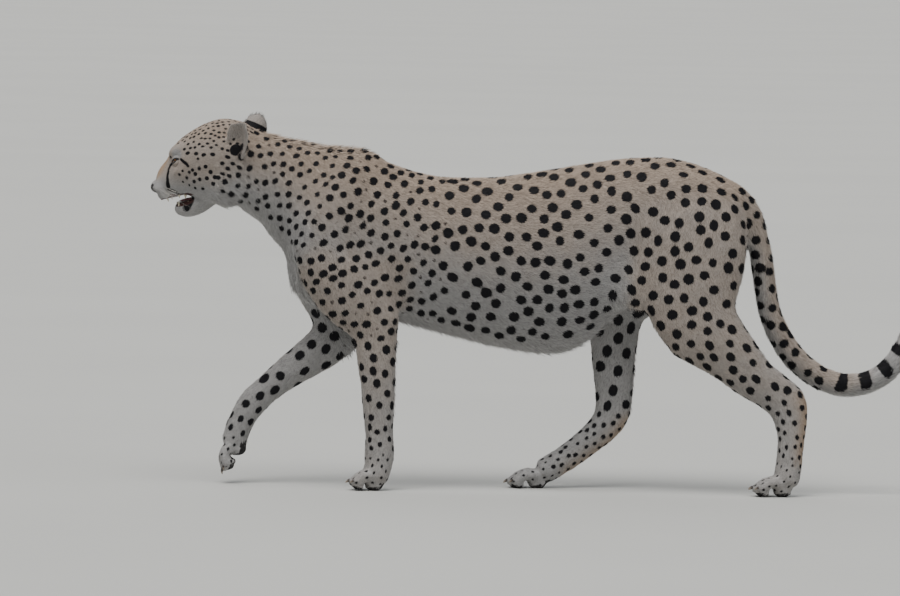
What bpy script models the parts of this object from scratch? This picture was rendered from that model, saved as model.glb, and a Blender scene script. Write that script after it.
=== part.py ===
"""A walking cheetah, life size, as a still model for a museum stand.

The animal walks towards -X with +Z up. Its left side faces -Y. The whole body is built
first, as lofts and ellipsoids that overlap, fused by a voxel Remesh and softened, then it is
parted into named pieces with thin cuts. Ears, eyes, nose, teeth, tongue and claws are made on
their own and sit in sockets. Sizes are in metres.
"""

import math

import bmesh
import bpy
import numpy as np
from mathutils import Euler, Matrix, Vector

# ---- driving dimensions -------------------------------------------------------------------
GAP = 0.0003                    # clearance between neighbouring pieces
TRUNK_VOXEL = 0.0075            # grain of the large muscles
FINE_VOXEL = 0.0034             # grain of the whole animal
BODY_TRIANGLES = 40000          # of the fused body, before it is parted
CRISP_FAVOUR = 0.0001           # how much the head and paws are favoured when faces are saved
RING_SIDES = 28                 # corners of each loft section
RINGS_PER_SPAN = 5              # loft sections between two stations

EYE_RADIUS = 0.0150
EYE_CENTRE = (-0.6540, 0.0310, 0.7310)
EAR_BASE = (-0.5120, 0.0460, 0.7580)
EAR_HEIGHT = 0.082
EAR_WIDTH = 0.066
EAR_CUP = 0.026
EAR_WALL = 0.0050
EAR_LEAN = (18, 24)             # degrees: back, outwards
EAR_TURN = 64                   # degrees the cup turns outwards from straight ahead
NOSE_CENTRE = (-0.7165, 0.0, 0.6725)
NOSE_RADII = (0.0125, 0.0155, 0.0105)
CLAW_LENGTH = 0.011
CLAW_RADIUS = 0.0033
TOE_RADIUS = 0.0125
TOE_SPREAD = (-0.0275, -0.0098, 0.0098, 0.0275)
TOE_REACH = (0.80, 1.0, 1.0, 0.80)          # outer toes are shorter

HEAD_PIVOT = Vector((-0.500, 0.0, 0.715))   # where the skull turns on the neck
HEAD_YAW = math.radians(14)                 # the face turned a little to the animal's right
HEAD_ROLL = math.radians(7)                 # the left ear a little lower

LEFT, RIGHT = -1, 1
SIDES = {LEFT: "left", RIGHT: "right"}


# ---- the body's forms ---------------------------------------------------------------------
# Upright sections: x, top, underside, half width
TRUNK = (
    (-0.395, 0.735, 0.475, 0.046),
    (-0.350, 0.763, 0.412, 0.070),
    (-0.280, 0.764, 0.388, 0.086),
    (-0.190, 0.738, 0.377, 0.094),
    (-0.090, 0.711, 0.352, 0.100),
    (0.020, 0.706, 0.325, 0.105),
    (0.120, 0.719, 0.307, 0.108),
    (0.200, 0.733, 0.303, 0.105),
    (0.270, 0.746, 0.334, 0.096),
    (0.345, 0.757, 0.410, 0.088),
    (0.440, 0.759, 0.480, 0.084),
    (0.525, 0.738, 0.500, 0.076),
    (0.590, 0.703, 0.530, 0.058),
    (0.620, 0.672, 0.570, 0.036),
)
SKULL = (
    (-0.478, 0.806, 0.640, 0.052),
    (-0.521, 0.822, 0.630, 0.064),
    (-0.562, 0.826, 0.634, 0.067),
    (-0.601, 0.814, 0.640, 0.065),
    (-0.632, 0.797, 0.648, 0.057),
    (-0.655, 0.781, 0.649, 0.046),
    (-0.672, 0.764, 0.642, 0.037),
    (-0.688, 0.736, 0.637, 0.031),
    (-0.704, 0.709, 0.636, 0.027),
    (-0.718, 0.690, 0.645, 0.019),
)

# Paths: x, y outwards, z, half width, half depth
NECK = (
    (-0.290, 0.0, 0.615, 0.086, 0.155),
    (-0.378, 0.0, 0.657, 0.080, 0.130),
    (-0.414, 0.0, 0.678, 0.073, 0.111),
    (-0.450, 0.0, 0.692, 0.067, 0.101),
    (-0.493, 0.0, 0.713, 0.062, 0.092),
    (-0.540, 0.0, 0.727, 0.057, 0.086),
)
SHOULDER_BLADE = (
    (-0.262, 0.046, 0.722, 0.022, 0.040),
    (-0.290, 0.064, 0.660, 0.034, 0.066),
    (-0.322, 0.074, 0.585, 0.040, 0.078),
    (-0.345, 0.078, 0.520, 0.040, 0.066),
)
NEAR_UPPER_ARM = (
    (-0.345, 0.078, 0.540, 0.040, 0.060),
    (-0.300, 0.082, 0.475, 0.043, 0.080),
    (-0.250, 0.082, 0.415, 0.039, 0.078),
    (-0.212, 0.080, 0.372, 0.033, 0.056),
)
NEAR_FOREARM = (
    (-0.208, 0.080, 0.400, 0.034, 0.058),
    (-0.208, 0.079, 0.315, 0.032, 0.050),
    (-0.204, 0.077, 0.247, 0.029, 0.042),
    (-0.201, 0.075, 0.180, 0.027, 0.038),
    (-0.198, 0.073, 0.122, 0.026, 0.034),
    (-0.196, 0.072, 0.090, 0.0275, 0.0360),
    (-0.199, 0.072, 0.060, 0.027, 0.032),
    (-0.204, 0.072, 0.034, 0.030, 0.030),
)
FAR_UPPER_ARM = (
    (-0.352, 0.078, 0.530, 0.040, 0.060),
    (-0.330, 0.082, 0.460, 0.042, 0.074),
    (-0.303, 0.083, 0.395, 0.038, 0.066),
    (-0.286, 0.084, 0.345, 0.035, 0.050),
)
FAR_FOREARM = (
    (-0.272, 0.084, 0.352, 0.035, 0.050),
    (-0.330, 0.084, 0.309, 0.034, 0.051),
    (-0.400, 0.083, 0.258, 0.030, 0.041),
    (-0.448, 0.081, 0.219, 0.027, 0.035),
    (-0.488, 0.079, 0.180, 0.027, 0.035),
    (-0.513, 0.078, 0.138, 0.0265, 0.031),
    (-0.526, 0.077, 0.098, 0.028, 0.029),
)
NEAR_THIGH = (
    (0.510, 0.044, 0.680, 0.036, 0.082),
    (0.508, 0.060, 0.620, 0.044, 0.112),
    (0.502, 0.071, 0.540, 0.047, 0.122),
    (0.494, 0.078, 0.465, 0.044, 0.115),
    (0.492, 0.082, 0.405, 0.040, 0.098),
    (0.520, 0.083, 0.355, 0.036, 0.078),
)
NEAR_HOCK = (
    (0.512, 0.083, 0.385, 0.040, 0.098),
    (0.583, 0.083, 0.318, 0.035, 0.068),
    (0.634, 0.081, 0.268, 0.030, 0.054),
    (0.682, 0.078, 0.236, 0.026, 0.049),
    (0.712, 0.076, 0.208, 0.025, 0.049),
    (0.722, 0.075, 0.168, 0.025, 0.040),
    (0.723, 0.075, 0.127, 0.025, 0.033),
    (0.721, 0.075, 0.085, 0.025, 0.031),
    (0.715, 0.075, 0.040, 0.029, 0.030),
)
FAR_THIGH = (
    (0.510, 0.044, 0.680, 0.036, 0.082),
    (0.490, 0.060, 0.622, 0.044, 0.110),
    (0.446, 0.072, 0.552, 0.045, 0.112),
    (0.392, 0.080, 0.490, 0.042, 0.098),
    (0.350, 0.085, 0.425, 0.038, 0.076),
)
FAR_HOCK = (
    (0.338, 0.086, 0.445, 0.037, 0.068),
    (0.328, 0.086, 0.365, 0.035, 0.062),
    (0.326, 0.085, 0.300, 0.032, 0.055),
    (0.328, 0.083, 0.244, 0.028, 0.048),
    (0.328, 0.081, 0.200, 0.026, 0.045),
    (0.325, 0.080, 0.170, 0.025, 0.043),
    (0.306, 0.079, 0.139, 0.025, 0.039),
    (0.268, 0.078, 0.104, 0.025, 0.034),
    (0.222, 0.077, 0.068, 0.026, 0.032),
    (0.178, 0.077, 0.041, 0.029, 0.029),
)
TAIL = (
    (0.535, 0.0, 0.690, 0.034, 0.036),
    (0.588, 0.0, 0.668, 0.033, 0.036),
    (0.621, 0.002, 0.628, 0.031, 0.034),
    (0.640, 0.005, 0.580, 0.029, 0.031),
    (0.653, 0.009, 0.525, 0.0290, 0.0300),
    (0.661, 0.013, 0.470, 0.0290, 0.0295),
    (0.672, 0.016, 0.415, 0.0290, 0.0290),
    (0.692, 0.019, 0.365, 0.0300, 0.0300),
    (0.726, 0.021, 0.313, 0.0300, 0.0305),
    (0.772, 0.022, 0.272, 0.0300, 0.0310),
    (0.826, 0.022, 0.249, 0.0300, 0.0300),
    (0.868, 0.022, 0.247, 0.0295, 0.0295),
    (0.910, 0.022, 0.259, 0.0290, 0.0290),
    (0.948, 0.020, 0.288, 0.0285, 0.0285),
    (0.974, 0.018, 0.328, 0.0270, 0.0275),
    (0.988, 0.016, 0.372, 0.0220, 0.0225),
    (0.992, 0.014, 0.404, 0.0120, 0.0130),
)
LOWER_JAW = (
    (-0.545, 0.0, 0.668, 0.048, 0.026),
    (-0.590, 0.0, 0.648, 0.042, 0.022),
    (-0.620, 0.0, 0.628, 0.034, 0.021),
    (-0.646, 0.0, 0.6190, 0.026, 0.0205),
    (-0.666, 0.0, 0.6185, 0.019, 0.0150),
)
MOUTH = (
    (-0.622, 0.0, 0.6460, 0.052, 0.0012),
    (-0.650, 0.0, 0.6445, 0.052, 0.0048),
    (-0.680, 0.0, 0.6370, 0.052, 0.0060),
    (-0.740, 0.0, 0.6270, 0.052, 0.0120),
)
TONGUE = (
    (-0.630, 0.0, 0.6430, 0.0120, 0.0022),
    (-0.645, 0.0, 0.6408, 0.0112, 0.0030),
    (-0.660, 0.0, 0.6370, 0.0080, 0.0028),
)
# Canine teeth: root, tip, root radius
CANINES = {
    "upper": ((-0.6890, 0.0150, 0.6540), (-0.6845, 0.0155, 0.6355), 0.0036),
    "lower": ((-0.6590, 0.0130, 0.6170), (-0.6610, 0.0145, 0.6390), 0.0034),
}
# Bulges: name, centre, radii, degrees nose down, paired
HEAD_BULGES = (
    ("brow", (-0.658, 0.023, 0.756), (0.028, 0.018, 0.014), 34, True),
    ("ear_root", (-0.512, 0.034, 0.760), (0.032, 0.026, 0.030), 0, True),
    ("cheekbone", (-0.628, 0.036, 0.714), (0.048, 0.020, 0.026), 20, True),
    ("cheek", (-0.652, 0.023, 0.688), (0.046, 0.021, 0.034), 24, True),
    ("jaw_muscle", (-0.583, 0.038, 0.698), (0.056, 0.028, 0.052), 12, True),
    ("whisker_pad", (-0.700, 0.0165, 0.660), (0.0245, 0.0180, 0.0240), 22, True),
    ("nose_bridge", (-0.694, 0.0, 0.707), (0.034, 0.0165, 0.014), 52, False),
    ("ruff", (-0.543, 0.042, 0.684), (0.050, 0.028, 0.056), 0, True),
)
BODY_BULGES = (
    ("withers", (-0.285, 0.0, 0.735), (0.090, 0.034, 0.032), 8, False),
    ("breast", (-0.352, 0.0, 0.490), (0.066, 0.056, 0.085), 0, False),
    ("hip", (0.480, 0.040, 0.672), (0.090, 0.046, 0.055), -18, True),
    ("seat", (0.576, 0.050, 0.570), (0.040, 0.034, 0.080), 0, True),
    ("flank_fold", (0.350, 0.058, 0.470), (0.080, 0.034, 0.062), -24, True),
)


def removed_objects():
    """Empties the scene."""
    for obj in list(bpy.data.objects):
        bpy.data.objects.remove(obj)


def collection_named(name):
    made = bpy.data.collections.new(name)
    bpy.context.scene.collection.children.link(made)
    return made


def material_named(name, colour, roughness):
    """A Principled material of one plain colour."""
    made = bpy.data.materials.new(name)
    made.use_nodes = True
    shader = made.node_tree.nodes["Principled BSDF"]
    shader.inputs["Base Color"].default_value = (*colour, 1.0)
    shader.inputs["Roughness"].default_value = roughness
    return made


def object_from(name, mesh, home):
    made = bpy.data.objects.new(name, mesh)
    home.objects.link(made)
    return made


def evaluated_mesh(obj):
    """The object's mesh with its modifiers and place applied."""
    bpy.context.view_layer.update()
    graph = bpy.context.evaluated_depsgraph_get()
    mesh = bpy.data.meshes.new_from_object(obj.evaluated_get(graph))
    mesh.transform(obj.matrix_world)
    return mesh


def smooth_path(stations):
    """Catmull-Rom curve through the stations, all their numbers at once."""
    knots = np.array(stations, float)
    padded = np.vstack([2 * knots[0] - knots[1], knots, 2 * knots[-1] - knots[-2]])
    share = np.linspace(0, 1, RINGS_PER_SPAN, endpoint=False)[:, None]
    spans = []
    for a, b, c, d in zip(padded, padded[1:], padded[2:], padded[3:]):
        spans.append(
            b
            + 0.5 * share * (c - a)
            + share**2 * (a - 2.5 * b + 2 * c - 0.5 * d)
            + share**3 * (1.5 * b - 0.5 * a - 1.5 * c + 0.5 * d)
        )
    return np.vstack([*spans, knots[-1:]])


def unit(vectors):
    return vectors / np.linalg.norm(vectors, axis=-1, keepdims=True)


def lofted(name, stations, home, side=RIGHT):
    """Closed tube of ellipses square to a path of (x, y, z, half width, half depth) stations.

    Both ends are rounded off. side mirrors the path to the animal's left or right.
    """
    rows = smooth_path(stations)
    rows[:, 1] *= side
    centre = rows[:, :3]
    along = unit(np.gradient(centre, axis=0))
    across = unit(np.array([0.0, 1.0, 0.0]) - along * along[:, 1:2])
    return tube(name, centre, along, across, rows[:, 3], rows[:, 4], home)


def lofted_upright(name, stations, home, spine, keel):
    """Closed barrel of upright egg-shaped sections of (x, top, underside, half width).

    spine and keel say how much narrower it is along the top and along the underside.
    """
    rows = smooth_path(stations)
    middle = (rows[:, 1] + rows[:, 2]) / 2
    centre = np.stack([rows[:, 0], 0 * middle, middle], 1)
    along = np.tile([1.0, 0.0, 0.0], (len(rows), 1))
    across = np.tile([0.0, 1.0, 0.0], (len(rows), 1))
    half_height = (rows[:, 1] - rows[:, 2]) / 2
    return tube(name, centre, along, across, rows[:, 3], half_height, home, spine, keel)


def tube(name, centre, along, across, width, depth, home, spine=0.0, keel=0.0):
    """Rings round a path, closed by three shrinking rings at each end.

    A ring's point is centre + across * width * cos(a) * (1 - pinch) + up * depth * sin(a),
    where pinch grows with height to spine at the top and with depth to keel at the bottom.
    """
    turn = np.arange(RING_SIDES) * 2 * math.pi / RING_SIDES
    flat, rise = np.cos(turn), np.sin(turn)
    pinch = 1 - spine * np.clip(rise, 0, 1) ** 2 - keel * np.clip(-rise, 0, 1) ** 2
    up = np.cross(along, across)
    rings = []

    def ring(i, shift, scale):
        place = centre[i] + along[i] * shift
        rings.append(
            place
            + np.outer(flat * pinch * width[i] * scale, across[i])
            + np.outer(rise * depth[i] * scale, up[i])
        )

    cap = np.radians([75, 50, 25])
    last = len(centre) - 1
    reach = [0.7 * min(width[0], depth[0]), 0.7 * min(width[last], depth[last])]
    for angle in cap:
        ring(0, -reach[0] * math.sin(angle), math.cos(angle))
    for i in range(len(centre)):
        ring(i, 0.0, 1.0)
    for angle in reversed(cap):
        ring(last, reach[1] * math.sin(angle), math.cos(angle))
    faces = []
    for r in range(len(rings) - 1):
        for k in range(RING_SIDES):
            n = (k + 1) % RING_SIDES
            a, b = r * RING_SIDES, (r + 1) * RING_SIDES
            faces.append((a + k, a + n, b + n, b + k))
    faces.append(tuple(range(RING_SIDES))[::-1])
    faces.append(tuple((len(rings) - 1) * RING_SIDES + k for k in range(RING_SIDES)))
    mesh = bpy.data.meshes.new(name)
    mesh.from_pydata(np.vstack(rings).tolist(), [], faces)
    return object_from(name, closed_outwards(mesh), home)


def closed_outwards(mesh):
    """The mesh with doubles merged and faces turned out."""
    work = bmesh.new()
    work.from_mesh(mesh)
    bmesh.ops.remove_doubles(work, verts=work.verts, dist=1e-6)
    bmesh.ops.recalc_face_normals(work, faces=work.faces)
    work.to_mesh(mesh)
    work.free()
    return mesh


def ball(name, centre, radii, pitch, home, detail=24):
    """Ellipsoid from a UV sphere, pitched nose down about Y."""
    mesh = bpy.data.meshes.new(name)
    work = bmesh.new()
    bmesh.ops.create_uvsphere(work, u_segments=detail, v_segments=detail // 2, radius=1.0)
    work.to_mesh(mesh)
    work.free()
    turn = Euler((0, -math.radians(pitch), 0)).to_matrix().to_4x4()
    mesh.transform(Matrix.Translation(centre) @ turn @ Matrix.Diagonal((*radii, 1)))
    return object_from(name, mesh, home)


def bulges(rows, home):
    """Ellipsoids from rows of name, centre, radii, pitch, paired."""
    made = []
    for name, centre, radii, pitch, paired in rows:
        for side in (LEFT, RIGHT) if paired else (RIGHT,):
            place = (centre[0], centre[1] * side, centre[2])
            made.append(ball(f"{name}_{side}", place, radii, pitch, home))
    return made


def head_pose():
    """Matrix from the head's straight pose to its turned and tilted one."""
    turn = Euler((HEAD_ROLL, 0, 0)).to_matrix().to_4x4()
    turn = Euler((0, 0, -HEAD_YAW)).to_matrix().to_4x4() @ turn
    return Matrix.Translation(HEAD_PIVOT) @ turn @ Matrix.Translation(-HEAD_PIVOT)


# ---- paws -----------------------------------------------------------------------------------
# Each paw: knuckle point, direction of the toes, upward normal, side, and toe length
PAWS = {
    "left_forepaw": ((-0.206, 0.072, 0.026), (-1.0, 0.0, -0.12), LEFT, 0.052),
    "right_forepaw": ((-0.530, 0.077, 0.086), (-0.34, 0.0, -0.94), RIGHT, 0.054),
    "left_hindpaw": ((0.708, 0.075, 0.026), (-1.0, 0.0, -0.12), LEFT, 0.064),
    "right_hindpaw": ((0.160, 0.077, 0.0250), (-1.0, 0.0, -0.16), RIGHT, 0.064),
}


def paw_frame(paw):
    """Knuckle point and the paw's forward, sideways and upward directions."""
    point, forward, side, reach = PAWS[paw]
    knuckle = Vector((point[0], point[1] * side, point[2]))
    forward = Vector(forward).normalized()
    sideways = Vector((0, 1, 0))
    return knuckle, forward, sideways, sideways.cross(forward).normalized(), reach


def toe_tips(paw):
    """Middle of each toe's last joint, with the paw's directions."""
    knuckle, forward, sideways, upward, reach = paw_frame(paw)
    tips = []
    for spread, share in zip(TOE_SPREAD, TOE_REACH):
        tips.append(knuckle + forward * reach * share + sideways * spread)
    return tips, forward, sideways, upward


def paw_forms(paw, home):
    """Four toes that arch from the knuckle, the heel pad under them, and a pad per toe."""
    knuckle, forward, sideways, upward, reach = paw_frame(paw)
    tips, forward, sideways, upward = toe_tips(paw)
    made = []
    for number, (tip, spread) in enumerate(zip(tips, TOE_SPREAD)):
        root = knuckle + sideways * spread * 0.62 + upward * 0.004
        middle = root.lerp(tip, 0.52) + upward * 0.0085
        end = tip - upward * 0.003
        stations = []
        for place, half_width, half_depth in (
            (root, TOE_RADIUS * 0.92, TOE_RADIUS * 1.0),
            (middle, TOE_RADIUS * 0.92, TOE_RADIUS * 1.0),
            (end, TOE_RADIUS * 0.86, TOE_RADIUS * 0.90),
        ):
            stations.append((*place, half_width, half_depth))
        made.append(lofted(f"{paw}_toe_{number}", stations, home))
        pad = tip.lerp(root, 0.18) - upward * 0.013
        made.append(ball(f"{paw}_pad_{number}", pad, (0.010, 0.0085, 0.009), 0, home, 16))
    heel = knuckle + forward * 0.004 - upward * 0.012
    made.append(ball(f"{paw}_heel", heel, (0.022, 0.025, 0.016), 0, home, 16))
    return made


def claw(paw, number, home, grow=0.0):
    """Curved cone that leaves the toe forwards and bends down."""
    tips, forward, sideways, upward = toe_tips(paw)
    base = tips[number] + forward * (TOE_RADIUS * 0.35) + upward * 0.002
    stations = []
    for share in (0.0, 0.5, 1.0):
        bend = 0.36 * CLAW_LENGTH * share**2
        place = base + forward * CLAW_LENGTH * share - upward * bend
        radius = CLAW_RADIUS * (1 - 0.80 * share) + grow
        stations.append((*place, 0.8 * radius, radius))
    name = f"{paw}_claw_{number + 1}"
    return slim_loft(name, stations, home, 6)


def slim_loft(name, stations, home, sides):
    """Plain tube of few sides straight through its stations, for claws and teeth."""
    rows = np.array(stations, float)
    centre = rows[:, :3]
    along = unit(np.gradient(centre, axis=0))
    guide = np.array([0.0, 1.0, 0.0])
    across = unit(guide - along * (along @ guide)[:, None])
    up = np.cross(along, across)
    turn = np.arange(sides) * 2 * math.pi / sides
    work = bmesh.new()
    rings = []
    for i in range(len(rows)):
        ring = []
        for a in turn:
            offset = across[i] * rows[i, 3] * math.cos(a) + up[i] * rows[i, 4] * math.sin(a)
            ring.append(work.verts.new(centre[i] + offset))
        rings.append(ring)
    for low, high in zip(rings, rings[1:]):
        for k in range(sides):
            n = (k + 1) % sides
            work.faces.new((low[k], low[n], high[n], high[k]))
    work.faces.new(rings[0][::-1])
    work.faces.new(rings[-1])
    bmesh.ops.recalc_face_normals(work, faces=work.faces)
    mesh = bpy.data.meshes.new(name)
    work.to_mesh(mesh)
    work.free()
    return object_from(name, mesh, home)


# ---- whole body -----------------------------------------------------------------------------
def large_forms(home):
    """Trunk, neck, shoulders and thighs, which flow into each other."""
    made = [lofted_upright("trunk_form", TRUNK, home, 0.16, 0.10)]
    made.append(lofted("neck_form", NECK, home))
    made += bulges(BODY_BULGES, home)
    for side, upper_arm, thigh in ((LEFT, NEAR_UPPER_ARM, NEAR_THIGH), (RIGHT, FAR_UPPER_ARM, FAR_THIGH)):
        for number, stations in enumerate((SHOULDER_BLADE, upper_arm, thigh)):
            made.append(lofted(f"muscle_{SIDES[side]}_{number}", stations, home, side))
    return made


def slender_forms(home):
    """Lower legs, paws, tail and head."""
    made = [lofted("tail_form", TAIL, home)]
    for side, forearm, hock in ((LEFT, NEAR_FOREARM, NEAR_HOCK), (RIGHT, FAR_FOREARM, FAR_HOCK)):
        made.append(lofted(f"forearm_{SIDES[side]}", forearm, home, side))
        made.append(lofted(f"hock_{SIDES[side]}", hock, home, side))
    for paw in PAWS:
        made += paw_forms(paw, home)
    head = bulges(HEAD_BULGES, home)
    head.append(lofted_upright("skull_form", SKULL, home, 0.14, 0.10))
    head.append(lofted("jaw_form", LOWER_JAW, home))
    for obj in head:
        obj.data.transform(head_pose())
    return made + head


def joined(objects, name, home):
    """One object of all these objects' faces, which it replaces."""
    work = bmesh.new()
    for obj in objects:
        work.from_mesh(obj.data)
        bpy.data.objects.remove(obj)
    mesh = bpy.data.meshes.new(name)
    work.to_mesh(mesh)
    work.free()
    return object_from(name, mesh, home)


def remeshed(body, voxel):
    """Overlapping forms become one closed skin of even faces."""
    remesh = body.modifiers.new("Fuse", "REMESH")
    remesh.mode = "VOXEL"
    remesh.voxel_size = voxel
    applied(body)


def applied(body):
    """Replaces the mesh with the evaluated one."""
    body.data = evaluated_mesh(body)
    body.modifiers.clear()


def softened(body, passes, group=""):
    """Smooths the creases between the forms."""
    smooth = body.modifiers.new("Soften", "SMOOTH")
    smooth.factor = 0.5
    smooth.iterations = passes
    smooth.vertex_group = group
    applied(body)


def whole_body(home, helpers):
    """The animal as one closed mesh, before the mouth is opened."""
    muscles = joined(large_forms(helpers), "muscles", helpers)
    remeshed(muscles, TRUNK_VOXEL)
    softened(muscles, 22)
    body = joined([muscles, *slender_forms(helpers)], "body", home)
    remeshed(body, FINE_VOXEL)
    weigh_softness(body)
    softened(body, 11)
    softened(body, 40, "flesh")
    thinned(body, BODY_TRIANGLES, "flesh")
    body.vertex_groups.clear()
    return body


def weigh_softness(body):
    """Vertex group "flesh": 1 on the trunk and thighs, near 0 on the head and paws."""
    count = len(body.data.vertices)
    places = np.empty(count * 3, np.float32)
    body.data.vertices.foreach_get("co", places)
    places = places.reshape(-1, 3)
    crisp = np.full(count, np.inf)
    spots = [(Vector((-0.62, 0.0, 0.72)), 0.115)]
    spots += [(paw_frame(paw)[0] + paw_frame(paw)[1] * 0.02, 0.055) for paw in PAWS]
    for spot, radius in spots:
        crisp = np.minimum(crisp, np.linalg.norm(places - np.array(spot), axis=1) / radius)
    weight = np.clip((crisp - 0.9) / 0.5, 0.03, 1.0)
    group = body.vertex_groups.new(name="flesh")
    levels = np.maximum(np.round(weight * 12), 1).astype(int)
    for level in np.unique(levels):
        group.add(np.flatnonzero(levels == level).tolist(), level / 12, "REPLACE")


# ---- cuts -----------------------------------------------------------------------------------
def box(name, centre, size, home, pitch=0.0, yaw=0.0, grow=0.0):
    """Cube primitive of that size, pitched about Y and turned about Z."""
    mesh = bpy.data.meshes.new(name)
    work = bmesh.new()
    bmesh.ops.create_cube(work, size=1.0)
    work.to_mesh(mesh)
    work.free()
    scale = Matrix.Diagonal((*(side + 2 * grow for side in size), 1))
    turn = Euler((0, math.radians(pitch), math.radians(yaw))).to_matrix().to_4x4()
    mesh.transform(Matrix.Translation(centre) @ turn @ scale)
    return hidden(object_from(name, mesh, home))


def hidden(obj):
    obj.hide_render = True
    obj.display_type = "WIRE"
    return obj


def combined(obj, cutter, operation):
    """The mesh of a Boolean between obj and cutter."""
    cut = obj.modifiers.new("Cut", "BOOLEAN")
    cut.operation = operation
    cut.object = cutter
    mesh = evaluated_mesh(obj)
    obj.modifiers.clear()
    return mesh


def without_crumbs(mesh):
    """Keeps the largest of the mesh's loose bodies."""
    work = bmesh.new()
    work.from_mesh(mesh)
    left = set(work.verts)
    bodies = []
    while left:
        body, edge = set(), {left.pop()}
        while edge:
            body |= edge
            edge = {e.other_vert(v) for v in edge for e in v.link_edges} - body
        left -= body
        bodies.append(body)
    crumbs = sorted(bodies, key=len)[:-1]
    bmesh.ops.delete(work, geom=[v for body in crumbs for v in body], context="VERTS")
    work.to_mesh(mesh)
    work.free()
    return mesh


def part_off(body, name, home, helpers, **region):
    """Moves what lies in a box region from body to a new object, with GAP between them."""
    tight = box(name + "_cut", home=helpers, **region)
    loose = box(name + "_clear", home=helpers, grow=GAP, **region)
    piece = object_from(name, without_crumbs(combined(body, tight, "INTERSECT")), home)
    body.data = combined(body, loose, "DIFFERENCE")
    bpy.data.objects.remove(tight)
    bpy.data.objects.remove(loose)
    return piece


def socket(body, plugs):
    """Cuts away what the plugs fill, and removes them."""
    for plug in plugs:
        body.data = combined(body, hidden(plug), "DIFFERENCE")
        bpy.data.objects.remove(plug)


# ---- small solids ---------------------------------------------------------------------------
def mirrored(point, side):
    return (point[0], point[1] * side, point[2])


def posed(obj):
    """Moves a solid from the head's straight pose to its turned one."""
    obj.data.transform(head_pose())
    return obj


def eye(side, home, grow=0.0):
    radii = (EYE_RADIUS + grow,) * 3
    return posed(ball(f"{SIDES[side]}_eye", mirrored(EYE_CENTRE, side), radii, 0, home, 14))


def nose(home, grow=0.0):
    radii = tuple(radius + grow for radius in NOSE_RADII)
    return posed(ball("nose", NOSE_CENTRE, radii, 12, home, 12))


def ear(side, home, grow=0.0):
    """Cupped leaf: wide and round at the top, its edges curling forwards round the opening."""
    mesh = bpy.data.meshes.new(f"{SIDES[side]}_ear")
    work = bmesh.new()
    bmesh.ops.create_grid(work, x_segments=7, y_segments=6, size=1.0)
    for vert in work.verts:
        across = vert.co.x * (1 + 4 * grow / EAR_WIDTH)
        height = (vert.co.y + 1) / 2 * (1 + 2 * grow / EAR_HEIGHT) - 2 * grow / EAR_HEIGHT
        rounding = max(height - 0.45, 0) / 0.58
        outline = math.sqrt(1 - rounding**2) * (0.82 + 0.18 * min(height / 0.45, 1))
        curl = EAR_CUP * (1 - 0.62 * height)
        vert.co = (
            -curl * (across**2 - 0.4),
            across * outline * EAR_WIDTH / 2,
            height * EAR_HEIGHT * (1 - 0.10 * (across * rounding) ** 2),
        )
    work.to_mesh(mesh)
    work.free()
    back, out = (math.radians(angle) for angle in EAR_LEAN)
    turned = Euler((0, 0, -side * math.radians(EAR_TURN))).to_matrix()
    leaning = Euler((-side * out, back, 0)).to_matrix()
    mesh.transform(Matrix.Translation(mirrored(EAR_BASE, side)) @ (leaning @ turned).to_4x4())
    made = object_from(mesh.name, mesh, home)
    wall = made.modifiers.new("Wall", "SOLIDIFY")
    wall.thickness = EAR_WALL + 4 * grow
    wall.offset = 0.0
    wall.use_even_offset = True
    applied(made)
    return posed(made)


def canine(row, side, home, grow=0.0):
    """Slightly curved tooth that tapers from its root to a blunt tip."""
    root, tip, radius = CANINES[row]
    stations = []
    for share, width in ((0.0, 1.0), (0.6, 0.72), (1.0, 0.24)):
        place = Vector(mirrored(root, side)).lerp(Vector(mirrored(tip, side)), share)
        stations.append((*place, radius * width + grow, radius * width + grow))
    return posed(slim_loft(f"{SIDES[side]}_{row}_canine", stations, home, 6))


def tongue(home, grow=0.0):
    stations = [(x, y, z, width + grow, depth + grow) for x, y, z, width, depth in TONGUE]
    return posed(slim_loft("tongue", stations, home, 10))


# ---- materials ------------------------------------------------------------------------------
FINISHES = {
    "coat": ((0.45, 0.33, 0.20), 0.85),
    "leather": ((0.012, 0.012, 0.014), 0.45),
    "eyeball": ((0.10, 0.05, 0.02), 0.08),
    "enamel": ((0.75, 0.70, 0.60), 0.30),
    "horn": ((0.05, 0.04, 0.035), 0.35),
    "mucosa": ((0.30, 0.10, 0.10), 0.40),
}


def finish_of(name):
    for word, finish in (
        ("claw", "horn"),
        ("canine", "enamel"),
        ("eye", "eyeball"),
        ("nose", "leather"),
        ("tongue", "mucosa"),
    ):
        if word in name:
            return finish
    return "coat"


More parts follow.
